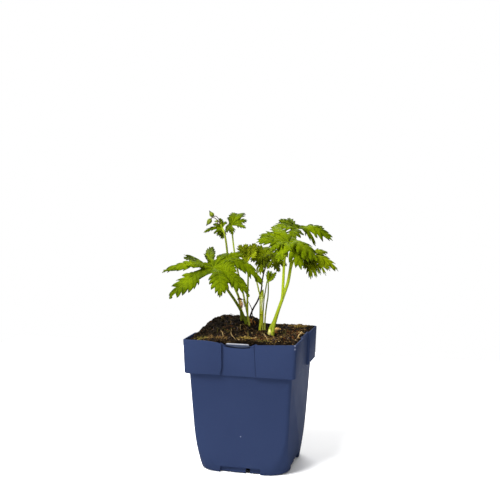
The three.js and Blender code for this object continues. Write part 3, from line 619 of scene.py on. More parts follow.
def layLobe(k, rib, shape, facing, corners, leaf, dice):
    # the palm's rows end between the two corners beside the lobe, the rows beyond them at its teeth
    columns, palm, sinus = bladeShape["columns"], bladeShape["palmRows"], leaf["sinus"]
    rows = {side: sideRows(leaf["outline"], sinus, dice) for side in (-1, 1)}
    count = palm + len(rows[1])
    length = (rib[2] - rib[0]).length
    bm = bmesh.new()
    for name in ("ribDistance", "veinDistance", "edgeDistance", "tone"):
        bm.verts.layers.float.new(name)
    layers = bm.verts.layers.float
    bmesh.ops.create_grid(bm, x_segments=2 * columns, y_segments=count, size=1)
    tone = leaf["tone"] + dice.uniform(-bladeShape["toneSpread"], bladeShape["toneSpread"])
    for v in bm.verts:
        side = -1 if v.co.x < 0 else 1
        share = abs(v.co.x)
        row = round((v.co.y + 1) / 2 * count)
        if row <= palm:
            at, vein = sinus * (row / palm), bladeShape["palmVein"]
            edge = rib[0].lerp(corners[side > 0], row / palm)
            up = besideRib(rib, shape, facing, at, side, 0)[1]
        else:
            at, end, reach, vein = rows[side][row - palm - 1]
            edge, up = besideRib(rib, shape, facing, end, side, reach)
        place = curvePoint(rib, at)
        out = (edge - place).length
        offset = abs(vein - round(vein))
        crown = math.sin(math.pi * share)
        quilt = crown * bladeShape["quilting"] * min(1, out / bladeShape["quiltedFrom"]) * (offset * 2 - 0.5)
        spot = Vector((row * bladeShape["wavesPerRow"], 3.1 * side, k + 7.7 * leaf["tone"] + rib[0].x))
        wave = noise.noise(spot) * share * share * length * bladeShape["waves"]
        wave *= min(1, max(0, row - palm) / bladeShape["wavyFrom"])
        v.co = place.lerp(edge, share) + up * (crown * out * bladeShape["bulge"] + quilt + wave)
        v[layers["ribDistance"]] = share * out
        v[layers["veinDistance"]] = offset * bladeShape["veinSpace"] * length
        v[layers["edgeDistance"]] = (1 - share) * out
        v[layers["tone"]] = tone
    return bm


def buildBlade(name, leaf, materials, slot):
    dice = random.Random(name)
    hub, shapes = Vector(leaf["hub"]), leaf["lobes"]
    facing = Vector(leaf["facing"]).normalized()
    ribs = [lobeRib(hub, shape) for shape in shapes]

    def besideLobe(k, side, out):
        return besideRib(ribs[k], shapes[k], facing, leaf["sinus"], side, out)[0]

    out = bladeShape["sinusOut"]
    sinuses = [(besideLobe(k - 1, 1, out) + besideLobe(k, -1, out)) / 2 for k in range(1, len(ribs))]
    sinuses.insert(0, besideLobe(0, -1, bladeShape["footOut"]))
    sinuses.append(besideLobe(-1, 1, bladeShape["footOut"]))
    whole = bmesh.new()
    for k, (rib, shape) in enumerate(zip(ribs, shapes)):
        addTo(whole, layLobe(k, rib, shape, facing, sinuses[k:k + 2], leaf, dice))
    bmesh.ops.remove_doubles(whole, verts=whole.verts, dist=bladeShape["mergeWithin"])
    blade = keepMesh(name + "_blade", whole, materials, node=name, slot=slot)
    thicken = blade.modifiers.new("thicken", "SOLIDIFY")
    thicken.thickness = bladeShape["thickness"] * mm
    thicken.offset = 0
    thicken.material_offset = 1
    thicken.material_offset_rim = 0


# stalks: a ring drawn along a smooth line

def smoothLine(points, steps=5):
    points = [Vector(p) for p in points]
    ends = [points[0] * 2 - points[1], *points, points[-1] * 2 - points[-2]]
    line = []
    for i in range(len(points) - 1):
        a, b, c, d = ends[i:i + 4]
        for step in range(steps):
            t = step / steps
            line.append(0.5 * (2 * b + (c - a) * t + (2 * a - 5 * b + 4 * c - d) * t * t
                               + (3 * b - a - 3 * c + d) * t ** 3))
    return [*line, points[-1]]


def spreadRadii(radii, count):
    spread = []
    for i in range(count):
        along = i / (count - 1) * (len(radii) - 1)
        k = min(int(along), len(radii) - 2)
        spread.append(radii[k] + (radii[k + 1] - radii[k]) * (along - k))
    return spread


def drawTube(line, radii, sides=10, flat=1.0, ridges=0, depth=0.0):
    bm = bmesh.new()
    along = bm.verts.layers.float.new("along")
    ridge = bm.verts.layers.float.new("ridge")
    radii = spreadRadii(radii, len(line))
    ring = bmesh.ops.create_circle(bm, cap_ends=True, segments=sides, radius=1)["verts"]
    for v in ring:
        v[ridge] = math.cos(ridges * math.atan2(v.co.y, v.co.x))
        v.co *= 1 + depth * v[ridge]
        v.co.y *= flat
    edges = list(bm.edges)
    turn, before, last = Matrix.Identity(3), Vector((0, 0, 1)), Matrix.Identity(4)
    for i, centre in enumerate(line):
        ahead = (line[min(i + 1, len(line) - 1)] - line[max(i - 1, 0)]).normalized()
        turn = before.rotation_difference(ahead).to_matrix() @ turn
        before = ahead
        stand = Matrix.Translation(centre) @ (turn * max(radii[i], 0.01)).to_4x4()
        if i:
            made = bmesh.ops.extrude_edge_only(bm, edges=edges)["geom"]
            ring = onlyVerts(made)
            edges = onlyEdges(made, set(ring))
        bmesh.ops.transform(bm, matrix=stand @ last.inverted(), verts=ring)
        last = stand
        for v in ring:
            v[along] = i / (len(line) - 1)
    bmesh.ops.contextual_create(bm, geom=edges)
    bmesh.ops.recalc_face_normals(bm, faces=bm.faces)
    return bm


def buildStalk(name, leaf, material, slot):
    whole = bmesh.new()
    for path, radii in leaf.get("stalks") or [(leaf["path"], leaf["radii"])]:
        addTo(whole, drawTube(smoothLine(path, 6), radii, 12))
    keepMesh(name + "_stalk", whole, [material], node=name, slot=slot)


# leaf and stalk finishes

leafLooksWithPaintedLight = {  # deep, main and light green, and the veins; bright and dark are lit and shaded copies of one green: the dark leaves sit in shade and get paler colours than the bright ones as painted light, and the folded leaf, which faces away from the lamps, gets paler colours still as painted light
    "bright": ((0.018, 0.03, 0.0004), (0.07, 0.102, 0.0005), (0.125, 0.172, 0.001), (0.15, 0.2, 0.003)),
    "dark": ((0.033, 0.044, 0.0008), (0.1, 0.13, 0.0006), (0.19, 0.24, 0.001), (0.17, 0.21, 0.004)),
    "folded": ((0.15, 0.185, 0.004), (0.26, 0.31, 0.006), (0.4, 0.465, 0.012), (0.5, 0.56, 0.03)),
    "under": ((0.03, 0.045, 0.002), (0.062, 0.088, 0.005), (0.1, 0.135, 0.01), (0.15, 0.19, 0.02)),
}
leafSurface = {
    "netScale": 620.0, "netWidth": 0.12, "netShare": 0.05, "netRelief": 0.8,
    "blotchScale": 60, "blotchMiddle": 0.7, "blotches": 2.0, "speckScale": 260, "speckShare": 0.4,
    "edgeWidth": 1.5, "edgeShade": -0.3, "veinWidth": 1.1, "veinShade": -0.45,
    "ribWidth": (0.1, 0.6), "ribShare": 0.5, "sideVeinWidth": 0.35, "sideVeinShare": 0.4,
    "tip": (0.018, 0.018, 0.004), "tipShare": 0.5, "tipEdge": (0.1, 0.9), "tipVein": (0.2, 1.0),
    "bump": (0.5, 0.0005),
    "finish": {
        "Roughness": 0.55, "Specular IOR Level": 0.012,
        "Subsurface Weight": 0.08, "Subsurface Radius": (0.6, 1.0, 0.1), "Subsurface Scale": 0.001,
    },
}


def leafMaterial(name, look):
    deep, main, light, veins = look
    surface = leafSurface
    material, tree, coords = newMaterial(name)
    rib, vein, edge = (attributeNode(tree, n) for n in ("ribDistance", "veinDistance", "edgeDistance"))
    grid = {"Vector": coords, "Scale": surface["netScale"]}
    cells = addNode(tree, "TexVoronoi", grid, feature="DISTANCE_TO_EDGE").outputs["Distance"]
    specks = noiseNode(tree, coords, surface["speckScale"], 2)
    specks = mathNode(tree, "MULTIPLY", specks, surface["speckShare"])
    blotches = mathNode(tree, "ADD", noiseNode(tree, coords, surface["blotchScale"]), specks)
    blotches = mathNode(tree, "SUBTRACT", blotches, surface["blotchMiddle"])
    depth = mathNode(tree, "MULTIPLY_ADD", blotches, surface["blotches"], attributeNode(tree, "tone"))
    nearEdge = fadeNode(tree, edge, 0.0, surface["edgeWidth"])
    depth = mathNode(tree, "MULTIPLY_ADD", nearEdge, surface["edgeShade"], depth)
    nearVein = fadeNode(tree, vein, 0.0, surface["veinWidth"])
    depth = mathNode(tree, "MULTIPLY_ADD", nearVein, surface["veinShade"], depth)
    colour = rampNode(tree, depth, [(0.0, deep), (0.5, main), (1.0, light)])
    sideVeins = fadeNode(tree, vein, 0.0, surface["sideVeinWidth"])
    sideVeins = mathNode(tree, "MULTIPLY", sideVeins, surface["sideVeinShare"])
    lines = mathNode(tree, "MAXIMUM", fadeNode(tree, rib, *surface["ribWidth"]), sideVeins)
    colour = tintNode(tree, colour, veins, lines, surface["ribShare"])
    net = fadeNode(tree, cells, 0.0, surface["netWidth"])
    colour = tintNode(tree, colour, veins, net, surface["netShare"])
    tips = fadeNode(tree, edge, *surface["tipEdge"])
    tips = mathNode(tree, "MULTIPLY", tips, fadeNode(tree, vein, *surface["tipVein"]))
    colour = tintNode(tree, colour, surface["tip"], tips, surface["tipShare"])
    height = mathNode(tree, "MULTIPLY", cells, surface["netRelief"])
    height = mathNode(tree, "SUBTRACT", height, lines)
    finishShader(tree, colour, surface["finish"], height, *surface["bump"])
    return material


stalkLook = {  # colours at the foot, a third of the way up and at the top; the foot and middle of green, the foot of olive, the middle of flower and the top of pale are lightened past the stalks' own colour as painted light, where the leaves shade the stalks
    "clump": ((0.15, 0.19, 0.012), (0.16, 0.21, 0.008), (0.12, 0.16, 0.005)),
    "green": ((0.8, 0.85, 0.15), (0.45, 0.52, 0.03), (0.15, 0.195, 0.007)),
    "pale": ((0.26, 0.31, 0.03), (0.17, 0.215, 0.005), (0.36, 0.44, 0.015)),
    "flower": ((0.2, 0.25, 0.015), (0.34, 0.4, 0.03), (0.17, 0.215, 0.007)),
    "olive": ((0.75, 0.8, 0.12), (0.11, 0.12, 0.012), (0.13, 0.16, 0.012)),
    "purple": ((0.03, 0.016, 0.014), (0.03, 0.018, 0.02), (0.04, 0.045, 0.015)),
    "pedicel": ((0.09, 0.09, 0.02), (0.09, 0.06, 0.035), (0.07, 0.04, 0.04)),
}
stalkSurface = {
    "middleAt": 0.35, "stretch": (900, 900, 60), "streakShare": 0.35, "bump": (0.3, 0.0003),
    "finish": {
        "Roughness": 0.45, "Specular IOR Level": 0.12,
        "Subsurface Weight": 0.15, "Subsurface Radius": (0.7, 1.0, 0.15), "Subsurface Scale": 0.0012,
    },
}


def stalkMaterial(name, look):
    surface = stalkSurface
    material, tree, coords = newMaterial(name)
    stops = list(zip((0.0, surface["middleAt"], 1.0), look))
    streaks = streakNode(tree, coords, surface["stretch"])
    colour = rampNode(tree, attributeNode(tree, "along"), stops)
    colour = tintNode(tree, colour, look[2], streaks, surface["streakShare"])
    finishShader(tree, colour, surface["finish"], streaks, *surface["bump"])
    return material


def buildPlant():
    blades = {name: leafMaterial("leaf_" + name, look) for name, look in leafLooksWithPaintedLight.items()}
    finishes = {name: stalkMaterial("stalk_" + name, look) for name, look in stalkLook.items()}
    for name, given in leaves.items():
        leaf = {**usualLeaf, **given}
        slot = "dark_leaf" if leaf["dark"] else "leaf"
        # leaves in shade take the paler dark look, and the folded leaf its paler folded look, as painted
        # light
        top = leaf.get("look", "dark" if leaf["dark"] else "bright")
        under = "folded" if top == "folded" else "under"
        buildBlade(name, leaf, [blades[top], blades[under]], slot)
        buildStalk(name, leaf, finishes[leaf["stalkLook"]], slot)
    return finishes


# flower buds: closed sepals with five ridges round a point, on thin arching pedicels

budLook = {
    "ridges": 5, "ridgeDepth": 0.12,
    "profile": (0.7, 1.6, 2.1, 2.25, 2.2, 1.95, 1.55, 1.1, 0.7, 0.4, 0.15),
    "buds": [  # base, tip, size
        ((-41.2, -2, 247.9), (-45.3, -2, 254.3), 1.0),
        ((-42.8, -4, 246.1), (-47.3, -6, 238.9), 1.05),
        ((-36.4, -1, 243.7), (-39.9, -3, 243.4), 0.5),
    ],
    "fork": (-34.3, 0.8, 241),  # where the pedicels part
    "pedicels": [
        [(-35.4, 0, 244.6), (-36.6, -1, 247), (-38.4, -1.5, 248.6), (-41.4, -2, 248.3)],
        [(-36.2, -0.5, 243.8), (-38, -2.5, 245.9), (-40, -3.5, 247.2), (-41.8, -4, 247.2),
         (-42.9, -4, 245.8)],
        [(-36, -0.6, 243), (-37.2, -1.4, 243.7)],
        [(-36.4, -1, 243.4), (-36.9, -1.2, 242), (-36.6, -1.2, 240)],
    ],
    "pedicelRadii": (0.62, 0.45, 0.42, 0.55),
    "green": (0.16, 0.21, 0.006), "olive": (0.055, 0.066, 0.008), "dark": (0.016, 0.013, 0.011),
    "grooveShare": 0.8, "mottleScale": 900, "mottleShare": 0.4, "grainScale": 2200,
    "bump": (0.3, 0.0002), "finish": {"Roughness": 0.6, "Specular IOR Level": 0.15},
}


def budMaterial():
    material, tree, coords = newMaterial("budSepals")
    olive, green, dark = budLook["olive"], budLook["green"], budLook["dark"]
    stops = [(0.0, olive), (0.2, green), (0.6, green), (0.85, dark)]
    colour = rampNode(tree, attributeNode(tree, "along"), stops)
    groove = fadeNode(tree, attributeNode(tree, "ridge"), -1.0, -0.1)
    colour = tintNode(tree, colour, dark, groove, budLook["grooveShare"])
    mottle = noiseNode(tree, coords, budLook["mottleScale"])
    colour = tintNode(tree, colour, olive, mottle, budLook["mottleShare"])
    grain = noiseNode(tree, coords, budLook["grainScale"], 2)
    finishShader(tree, colour, budLook["finish"], grain, *budLook["bump"])
    return material


def buildBuds(pedicelLook):
    whole, thin = bmesh.new(), bmesh.new()
    for base, tip, size in budLook["buds"]:
        steps = len(budLook["profile"]) * 2 - 2
        line = [Vector(base).lerp(Vector(tip), i / steps) for i in range(steps + 1)]
        radii = [r * size for r in budLook["profile"]]
        addTo(whole, drawTube(line, radii, 30, 1.0, budLook["ridges"], budLook["ridgeDepth"]))
    keepMesh("flowerBuds", whole, [budMaterial()], node="flower_buds", slot="bud")
    for path in budLook["pedicels"]:
        addTo(thin, drawTube(smoothLine([budLook["fork"], *path]), budLook["pedicelRadii"], 8))
    keepMesh("budPedicels", thin, [pedicelLook], node="flower_buds", slot="bud")


# young shoot: a folded pointed sheath, pale below and lightened further there as painted light where the
# leaves shade it, with a ring where it leaves its stalk

shootLook = {
    "path": [(5, 9.5, 124), (5.2, 9.5, 134), (6.4, 9.5, 141), (6.9, 9, 149), (6.9, 8.5, 156), (7.1, 8, 162),
             (7.6, 8, 167), (7.9, 8, 171.5), (8.4, 8, 173.6), (8.9, 8, 175)],
    "radii": (1.2, 1.4, 1.35, 1.2, 1.1, 1.3, 1.7, 1.4, 0.9, 0.12),
    "flat": 0.75, "ridges": 3, "ridgeDepth": 0.08,
    # the lower stops are lightened as painted light for the leaves' shade
    "stops": [(0.0, (0.8, 0.82, 0.06)), (0.36, (0.62, 0.68, 0.02)), (0.5, (0.6, 0.62, 0.25)),
              (0.62, (0.55, 0.6, 0.18)), (0.74, (0.34, 0.41, 0.007)), (0.9, (0.28, 0.34, 0.006)),
              (1.0, (0.13, 0.14, 0.012))],
    "stretch": (800, 800, 50), "streak": (0.13, 0.16, 0.004), "streakShare": 0.25,
    "bump": (0.3, 0.0003), "finish": {"Roughness": 0.5, "Specular IOR Level": 0.15},
}


def buildShoot():
    look = shootLook
    material, tree, coords = newMaterial("shootSheath")
    streaks = streakNode(tree, coords, look["stretch"])
    colour = rampNode(tree, attributeNode(tree, "along"), look["stops"])
    colour = tintNode(tree, colour, look["streak"], streaks, look["streakShare"])
    finishShader(tree, colour, look["finish"], streaks, *look["bump"])
    line = smoothLine(look["path"])
    whole = drawTube(line, look["radii"], 24, look["flat"], look["ridges"], look["ridgeDepth"])
    keepMesh("shootSheath", whole, [material], node="young_shoot", slot="shoot")


# dry stipules, sheaths and other small bits on the stalks and on the soil

# amber, pink and copper are lightened past these bits' own colours as painted light, for the stipules and
# sheaths in the leaves' shade
litterColours = {
    "peat": (0.004, 0.003, 0.0016), "brown": (0.022, 0.012, 0.006), "rust": (0.09, 0.036, 0.012),
    "tan": (0.16, 0.1, 0.036), "straw": (0.42, 0.31, 0.14), "cream": (0.5, 0.47, 0.16),
    "moss": (0.13, 0.112, 0.026), "olive": (0.06, 0.055, 0.01), "pink": (0.95, 0.62, 0.42),
    "grey": (0.13, 0.1, 0.1), "gold": (0.22, 0.155, 0.036), "green": (0.16, 0.19, 0.012),
    "copper": (0.38, 0.17, 0.05), "bark": (0.5, 0.31, 0.14), "amber": (0.95, 0.72, 0.24),
    "chip": (0.8, 0.5, 0.17),
}
litterLook = {
    "shadeScale": 700, "shade": (0.35, 0.32, 0.3), "glow": (1.25, 1.2, 1.15),
    "grainScale": 1500, "bump": (0.5, 0.0004), "finish": {"Roughness": 0.85, "Specular IOR Level": 0.02},
}
stipules = [  # path, radii, flatness, colour
    ([(-20.3, 16, 162.3), (-17.6, 15, 163.2), (-14.8, 16, 162.2)], (0.5, 1.3, 0.6), 0.9, "tan"),
    ([(-18.6, 15.4, 161.4), (-17.2, 14.8, 159.8), (-15.2, 15.6, 159.2)], (0.5, 1.3, 0.5), 0.8, "rust"),
    ([(-16.4, 15, 162.4), (-16.8, 14.4, 159.6), (-17.2, 14.4, 156.4), (-17.2, 15, 153.2)],
     (0.9, 1.5, 1.5, 0.8), 0.9, "amber"),
    ([(-15.4, 15.6, 160.6), (-15, 14.6, 157.8), (-15.2, 14.8, 153.8)], (0.6, 1.3, 0.6), 0.9, "pink"),
    ([(-19.2, 15, 157), (-18.3, 13.6, 155.8), (-17.4, 13.4, 154.2)], (0.5, 0.9, 0.4), 0.8, "brown"),
    ([(-16.4, 14.8, 155.3), (-15.4, 15, 154.4)], (0.5, 0.4), 0.8, "brown"),
    ([(-19.4, 16, 153.9), (-16.9, 14.8, 152.6), (-14.8, 15.6, 152.4)], (0.5, 1.2, 0.5), 0.8, "amber"),
    ([(-16.1, 24, 162), (-15.5, 24, 158), (-14.9, 24, 153.3)], (0.4, 0.45, 0.3), 0.5, "grey"),
    ([(-13.9, 30, 163), (-12.3, 31, 157.8), (-10.4, 32, 153.5), (-9.3, 33, 149.7), (-8.8, 34, 142),
      (-8.8, 34, 137)], (0.35, 0.45, 0.45, 0.5), 0.8, "grey"),
    ([(5.6, 7.6, 149.2), (7.1, 6.9, 149.3), (8.6, 7.2, 149.2)], (0.2, 0.3, 0.2), 0.8, "olive"),
    ([(10.4, 8.8, 150), (11, 8.6, 147.5), (10.8, 9, 145)], (0.3, 0.8, 0.4), 0.8, "cream"),
    ([(20.4, -10.6, 137.6), (20.5, -11.2, 135.4), (20.3, -11.4, 133.2), (20, -11.4, 130.8)],
     (1.0, 2.1, 1.8, 0.9), 0.9, "cream"),
    ([(24.1, -13.8, 136), (24.4, -14, 133), (24.6, -14, 130.8)], (0.6, 1.0, 1.1), 0.8, "green"),
    ([(22, -12.6, 132.9), (22.6, -13, 131.6)], (0.8, 0.7), 0.8, "peat"),
    ([(-9.8, 24, 142), (-7.6, 22, 140.4), (-5.6, 21, 137)], (0.5, 1.3, 0.7), 0.7, "copper"),
    ([(-5.6, 24, 142.4), (-7, 22, 139.6), (-8.8, 21, 136.6)], (0.4, 1.1, 0.6), 0.7, "bark"),
    ([(-4.6, 22, 139.8), (-3, 21, 138.6), (-2.2, 20, 136)], (0.4, 1.1, 0.4), 0.7, "copper"),
    ([(-9.6, 22, 138.4), (-10, 20, 135.4)], (0.8, 0.5), 0.8, "bark"),
    ([(20.8, 2, 132.8), (22.6, 2, 134.9), (25, 3, 135.9), (28.4, 4, 135.8)],
     (1.0, 1.7, 1.6, 0.6), 0.9, "chip"),
    ([(21, 1, 131.8), (23.8, 1, 132.6), (26.4, 1, 132.2)], (1.2, 1.5, 0.7), 0.9, "copper"),
]
crinkle = {"scale": 0.9, "depth": 0.22}  # how the dry stipules are crumpled


def litterMaterial():
    material, tree, coords = newMaterial("dryLitter")
    shade = noiseNode(tree, coords, litterLook["shadeScale"], 4, 0.65)
    shade = rampNode(tree, shade, [(0.3, litterLook["shade"]), (0.7, litterLook["glow"])])
    colour = mixNode(tree, 1.0, attributeNode(tree, "bitColour", "Color"), shade, "MULTIPLY")
    grain = noiseNode(tree, coords, litterLook["grainScale"])
    finishShader(tree, colour, litterLook["finish"], grain, *litterLook["bump"])
    return material


def paintBit(bm, colour, dice, spread=0.25):
    layer = bm.verts.layers.float_color.new("bitColour")
    gain = 1 + dice.uniform(-spread, spread)
    for v in bm.verts:
        v[layer] = (*[c * gain for c in litterColours[colour]], 1)
    return bm


def buildStipules(material):
    dice = random.Random("stipules")
    whole = bmesh.new()
    for path, radii, flat, colour in stipules:
        bit = paintBit(drawTube(smoothLine(path), radii, 10, flat), colour, dice)
        for v in bit.verts:
            v.co += noise.noise_vector(v.co * crinkle["scale"]) * crinkle["depth"]
        addTo(whole, bit)
    keepMesh("dryStipules", whole, [material], slot="shoot")


# soil: a lumpy crust over the packed soil, with crumbs, root fibres and moss on it

soilLook = {
    "level": 131.3, "half": 54.0, "cells": 108, "lift": 0.6, "edgeDrop": 1.0, "dropFrom": 0.955, "skirt": 4.0,
    "lumps": [(1.5, 0.13, 1.7), (0.9, 0.33, 5.1)],  # height, fineness and place in the noise
    "grit": (0.35, 1.1, 9.3),
    "dark": (0.002, 0.0014, 0.0009), "main": (0.012, 0.008, 0.004), "light": (0.09, 0.06, 0.022),
    "grainScale": 420, "patchScale": 90, "dim": (0.55, 0.5, 0.5), "bright": (1.3, 1.25, 1.2),
    "bump": (0.8, 0.001), "finish": {"Roughness": 0.92, "Specular IOR Level": 0.02},
}
heap = {  # over the back left quarter, lower at its outer side
    "height": 7.6, "front": -25, "length": 30, "side": -24, "foot": 3, "lean": 0.2,
    "outer": (45, 55), "outerDrop": 0.55,
}
hollow = {"depth": 3.5, "x": -52, "y": -50, "width": 12, "length": 16}  # in the front left corner
wallReach = {  # how far the soil reaches behind each recess, behind the label and beside it
    "left": -19, "right": 18, "recess": 52.0, "labelLeft": -15, "labelRight": 11, "label": 51.2,
    "pocket": 49.6, "corner": 1.9,
}
crumbs = {
    "small": 2100, "large": 150, "smallSize": (0.3, 0.75), "largeSize": (1.0, 1.9), "largeColours": 6,
    "spread": 0.985, "barkyFrom": (-20, 35), "sunk": 0.15, "batch": 40,
    "lumps": (0.72, 1.25), "width": (0.55, 1), "height": (0.45, 0.9), "turn": (0, 6.3), "tilt": (-0.6, 0.6),
    "shades": 0.4,
}
soilColours = {  # the back left is dark peat, the front and the right have more bark and chaff
    "peaty": ["peat"] * 5 + ["brown"] * 3 + ["rust", "olive"],
    "barky": ["peat", "brown", "brown", "rust", "rust", "tan", "tan", "olive", "gold", "straw"],
}
mossPatches = [  # centre, spread, count, size, colour
    ((-42, -38), (6.5, 5), 130, 0.75, "moss"),
    ((-35, -38), (5, 5), 60, 0.7, "tan"),
    ((-22, -40), (12, 4), 70, 0.7, "tan"),
    ((3, -33), (8, 4), 130, 0.75, "gold"),
    ((8, -30), (3, 2), 25, 0.9, "straw"),
    ((22, -44), (9, 3), 90, 0.65, "moss"),
    ((17, -36), (9, 6), 100, 0.7, "rust"),
    ((28, -34), (12, 8), 120, 0.7, "tan"),
    ((38, 47), (11, 5), 120, 1.5, "tan"),
    ((41, 42), (8, 5), 70, 1.2, "gold"),
    ((-8, 16), (3, 3), 30, 0.7, "moss"),
    ((31, 6), (3, 12), 40, 0.6, "olive"),
    ((36, 10), (10, 14), 90, 0.7, "rust"),
]
mossReach = {"x": (-53, 53), "y": (-50, 53), "lift": 0.1, "sizes": (0.5, 1.2)}
roots = [  # start, end, height of its arch, sideways bend, radius, colour
    ((-12, -3), (-15, 15.5), 0.9, 0.5, 0.3, "straw"),
    ((-15, 15.5), (-6.5, 2), 1.2, 1.0, 0.28, "tan"),
    ((-29.5, -14), (-19.5, -41), 0.8, 1.5, 0.3, "straw"),
    ((-19.5, -9.5), (-5, -46), 0.9, -2.0, 0.32, "straw"),
    ((-25, 41), (-17, 17), 0.8, 0.8, 0.3, "grey"),
    ((-14, -48), (-13, -35), 0.7, 0.6, 0.3, "tan"),
    ((-36, -5.5), (-31.5, -20), 0.8, 1.0, 0.4, "olive"),
    ((-28.5, 21), (-25, 8), 0.6, 0.4, 0.5, "tan"),
    ((11, -6), (25, -43), 0.8, 1.4, 0.3, "straw"),
    ((-7, -5.5), (1.5, -28), 0.8, 1.0, 0.3, "tan"),
    ((40, -4), (52, -8), 3.4, 0.5, 0.3, "tan"),
    ((50.5, -22), (52.5, 6), 3.0, 0.3, 0.55, "straw"),
    ((-5, 1.5), (2.5, -25), 0.8, -0.8, 0.35, "moss"),
    ((27, 27), (35.5, -10), 1.0, 1.0, 0.35, "olive"),
    ((-18, 3), (-14.5, -8.5), 0.9, 1.4, 0.3, "grey"),
]
rootShape = {
    "steps": 8, "sides": 6, "taper": (0.6, 1, 0.9, 0.4), "lift": 0.5, "sunk": 0.25, "wander": 0.7,
    "bends": 2.5, "shades": 0.2,
}
looseRoots = {
    "count": 150, "x": (-49, 49), "y": (-46, 49), "length": (3, 9), "arch": (0.3, 1.6), "bend": (-2, 2),
    "radius": (0.15, 0.3), "colours": ["tan", "tan", "rust", "olive", "grey", "peat", "peat"],
    "turn": (0, 6.3), "endX": (-51, 51), "endY": (-48, 51),
}


def clamp(value, low, high):
    return max(low, min(high, value))


def smoothStep(value, low, high):
    t = clamp((value - low) / (high - low), 0, 1)
    return t * t * (3 - 2 * t)


def soilHeight(x, y):
    # follows the packed soil
    fall = smoothStep(x, heap["side"] + heap["lean"] * y, heap["foot"])
    back = 1 - math.exp(-max(0, y - heap["front"]) / heap["length"])
    rise = heap["height"] * back * (1 - fall) * (1 - heap["outerDrop"] * smoothStep(-x, *heap["outer"]))
    away = ((x - hollow["x"]) / hollow["width"]) ** 2 + ((y - hollow["y"]) / hollow["length"]) ** 2
    ripple = 0.5 * math.sin(0.41 * x + 1.3) * math.sin(0.37 * y + 0.4) + 0.35 * math.sin(0.83 * x - 0.61 * y)
    return soilLook["level"] + rise - hollow["depth"] * math.exp(-0.5 * away) + ripple


def lumpAt(x, y, fineness, place):
    return noise.noise(Vector((x * fineness, y * fineness, place)))


def crustHeight(x, y):
    lumps = sum(height * abs(lumpAt(x, y, *grain)) for height, *grain in soilLook["lumps"])
    gritHeight, *grain = soilLook["grit"]
    grit = gritHeight * lumpAt(x, y, *grain)
    edge = max(abs(x), abs(y)) / soilLook["half"]
    drop = soilLook["edgeDrop"] * smoothStep(edge, soilLook["dropFrom"], 1.0)
    return soilHeight(x, y) + soilLook["lift"] + lumps + grit - drop


def insideWall(u, v):
    # the wall steps in behind each recess, and the soil reaches up to the back of the label
    half, wall, bend = soilLook["half"], wallReach, wallReach["corner"]
    x, y = u * half, v * half
    reach = wall["recess"] if wall["left"] < (x if y < 0 else -x) < wall["right"] else half
    if y < 0 and wall["left"] < x < wall["right"]:
        reach = wall["label"] if wall["labelLeft"] < x < wall["labelRight"] else wall["pocket"]
    y = v * reach
    x = u * (wall["recess"] if wall["left"] < (y if x > 0 else -y) < wall["right"] else half)
    corner = half - bend
    dx, dy = abs(x) - corner, abs(y) - corner
    if dx > 0 and dy > 0 and math.hypot(dx, dy) > bend:
        shrink = bend / math.hypot(dx, dy)
        x, y = math.copysign(corner + dx * shrink, x), math.copysign(corner + dy * shrink, y)
    return x, y


def soilMaterial():
    material, tree, coords = newMaterial("pottingSoil")
    grains = noiseNode(tree, coords, soilLook["grainScale"], 5, 0.7)
    stops = [(0.42, soilLook["dark"]), (0.56, soilLook["main"]), (0.72, soilLook["light"])]
    patches = noiseNode(tree, coords, soilLook["patchScale"])
    patches = rampNode(tree, patches, [(0.35, soilLook["dim"]), (0.65, soilLook["bright"])])
    colour = mixNode(tree, 1.0, rampNode(tree, grains, stops), patches, "MULTIPLY")
    finishShader(tree, colour, soilLook["finish"], grains, *soilLook["bump"])
    return material


def buildCrust(material):
    bm = bmesh.new()
    bmesh.ops.create_grid(bm, x_segments=soilLook["cells"], y_segments=soilLook["cells"], size=1)
    for v in bm.verts:
        x, y = insideWall(v.co.x, v.co.y)
        v.co = (x, y, crustHeight(x, y))
    rim = [e for e in bm.edges if e.is_boundary]
    made = bmesh.ops.extrude_edge_only(bm, edges=rim)["geom"]
    low = onlyVerts(made)
    bmesh.ops.translate(bm, verts=low, vec=(0, 0, -soilLook["skirt"]))
    bmesh.ops.contextual_create(bm, geom=onlyEdges(made, set(low)))
    bmesh.ops.recalc_face_normals(bm, faces=bm.faces)
    keepMesh("soilCrust", bm, [material], slot="soil")
    nodes["soil"].material_slots[0].material = material


def addCrumb(batch, place, size, colour, dice, level=1):
    bit = bmesh.new()
    bmesh.ops.create_icosphere(bit, subdivisions=level, radius=size)
    for v in bit.verts:
        v.co *= dice.uniform(*crumbs["lumps"])
    width, height, turn, tilt = (dice.uniform(*crumbs[key]) for key in ("width", "height", "turn", "tilt"))
    bmesh.ops.scale(bit, verts=bit.verts, vec=(1, width, height))
    turned = Matrix.Rotation(turn, 3, "Z") @ Matrix.Rotation(tilt, 3, "X")
    bmesh.ops.transform(bit, matrix=Matrix.Translation(place) @ turned.to_4x4(), verts=bit.verts)
    addTo(batch, paintBit(bit, colour, dice, crumbs["shades"]))


def onSoil(x, y, sink):
    return Vector((x, y, crustHeight(x, y) - sink))


def buildCrumbs(material):
    dice = random.Random("crumbs")
    whole, batch = bmesh.new(), bmesh.new()
    total, spread = crumbs["small"] + crumbs["large"], crumbs["spread"]
    least, more = crumbs["smallSize"]
    for i in range(total):
        x, y = insideWall(dice.uniform(-spread, spread), dice.uniform(-spread, spread))
        large = i >= crumbs["small"]
        size = dice.uniform(*crumbs["largeSize"]) if large else least + more * dice.random() ** 2
        barky = dice.random() < smoothStep(x - 0.5 * y, *crumbs["barkyFrom"])
        choices = soilColours["barky" if barky else "peaty"]
        colour = dice.choice(choices[:crumbs["largeColours"]] if large else choices)
        addCrumb(batch, onSoil(x, y, size * crumbs["sunk"]), size, colour, dice, 2 if large else 1)
        if i % crumbs["batch"] == crumbs["batch"] - 1 or i == total - 1:
            addTo(whole, batch)
            batch = bmesh.new()
    batch.free()
    keepMesh("soilCrumbs", whole, [material], flat=True, slot="soil")


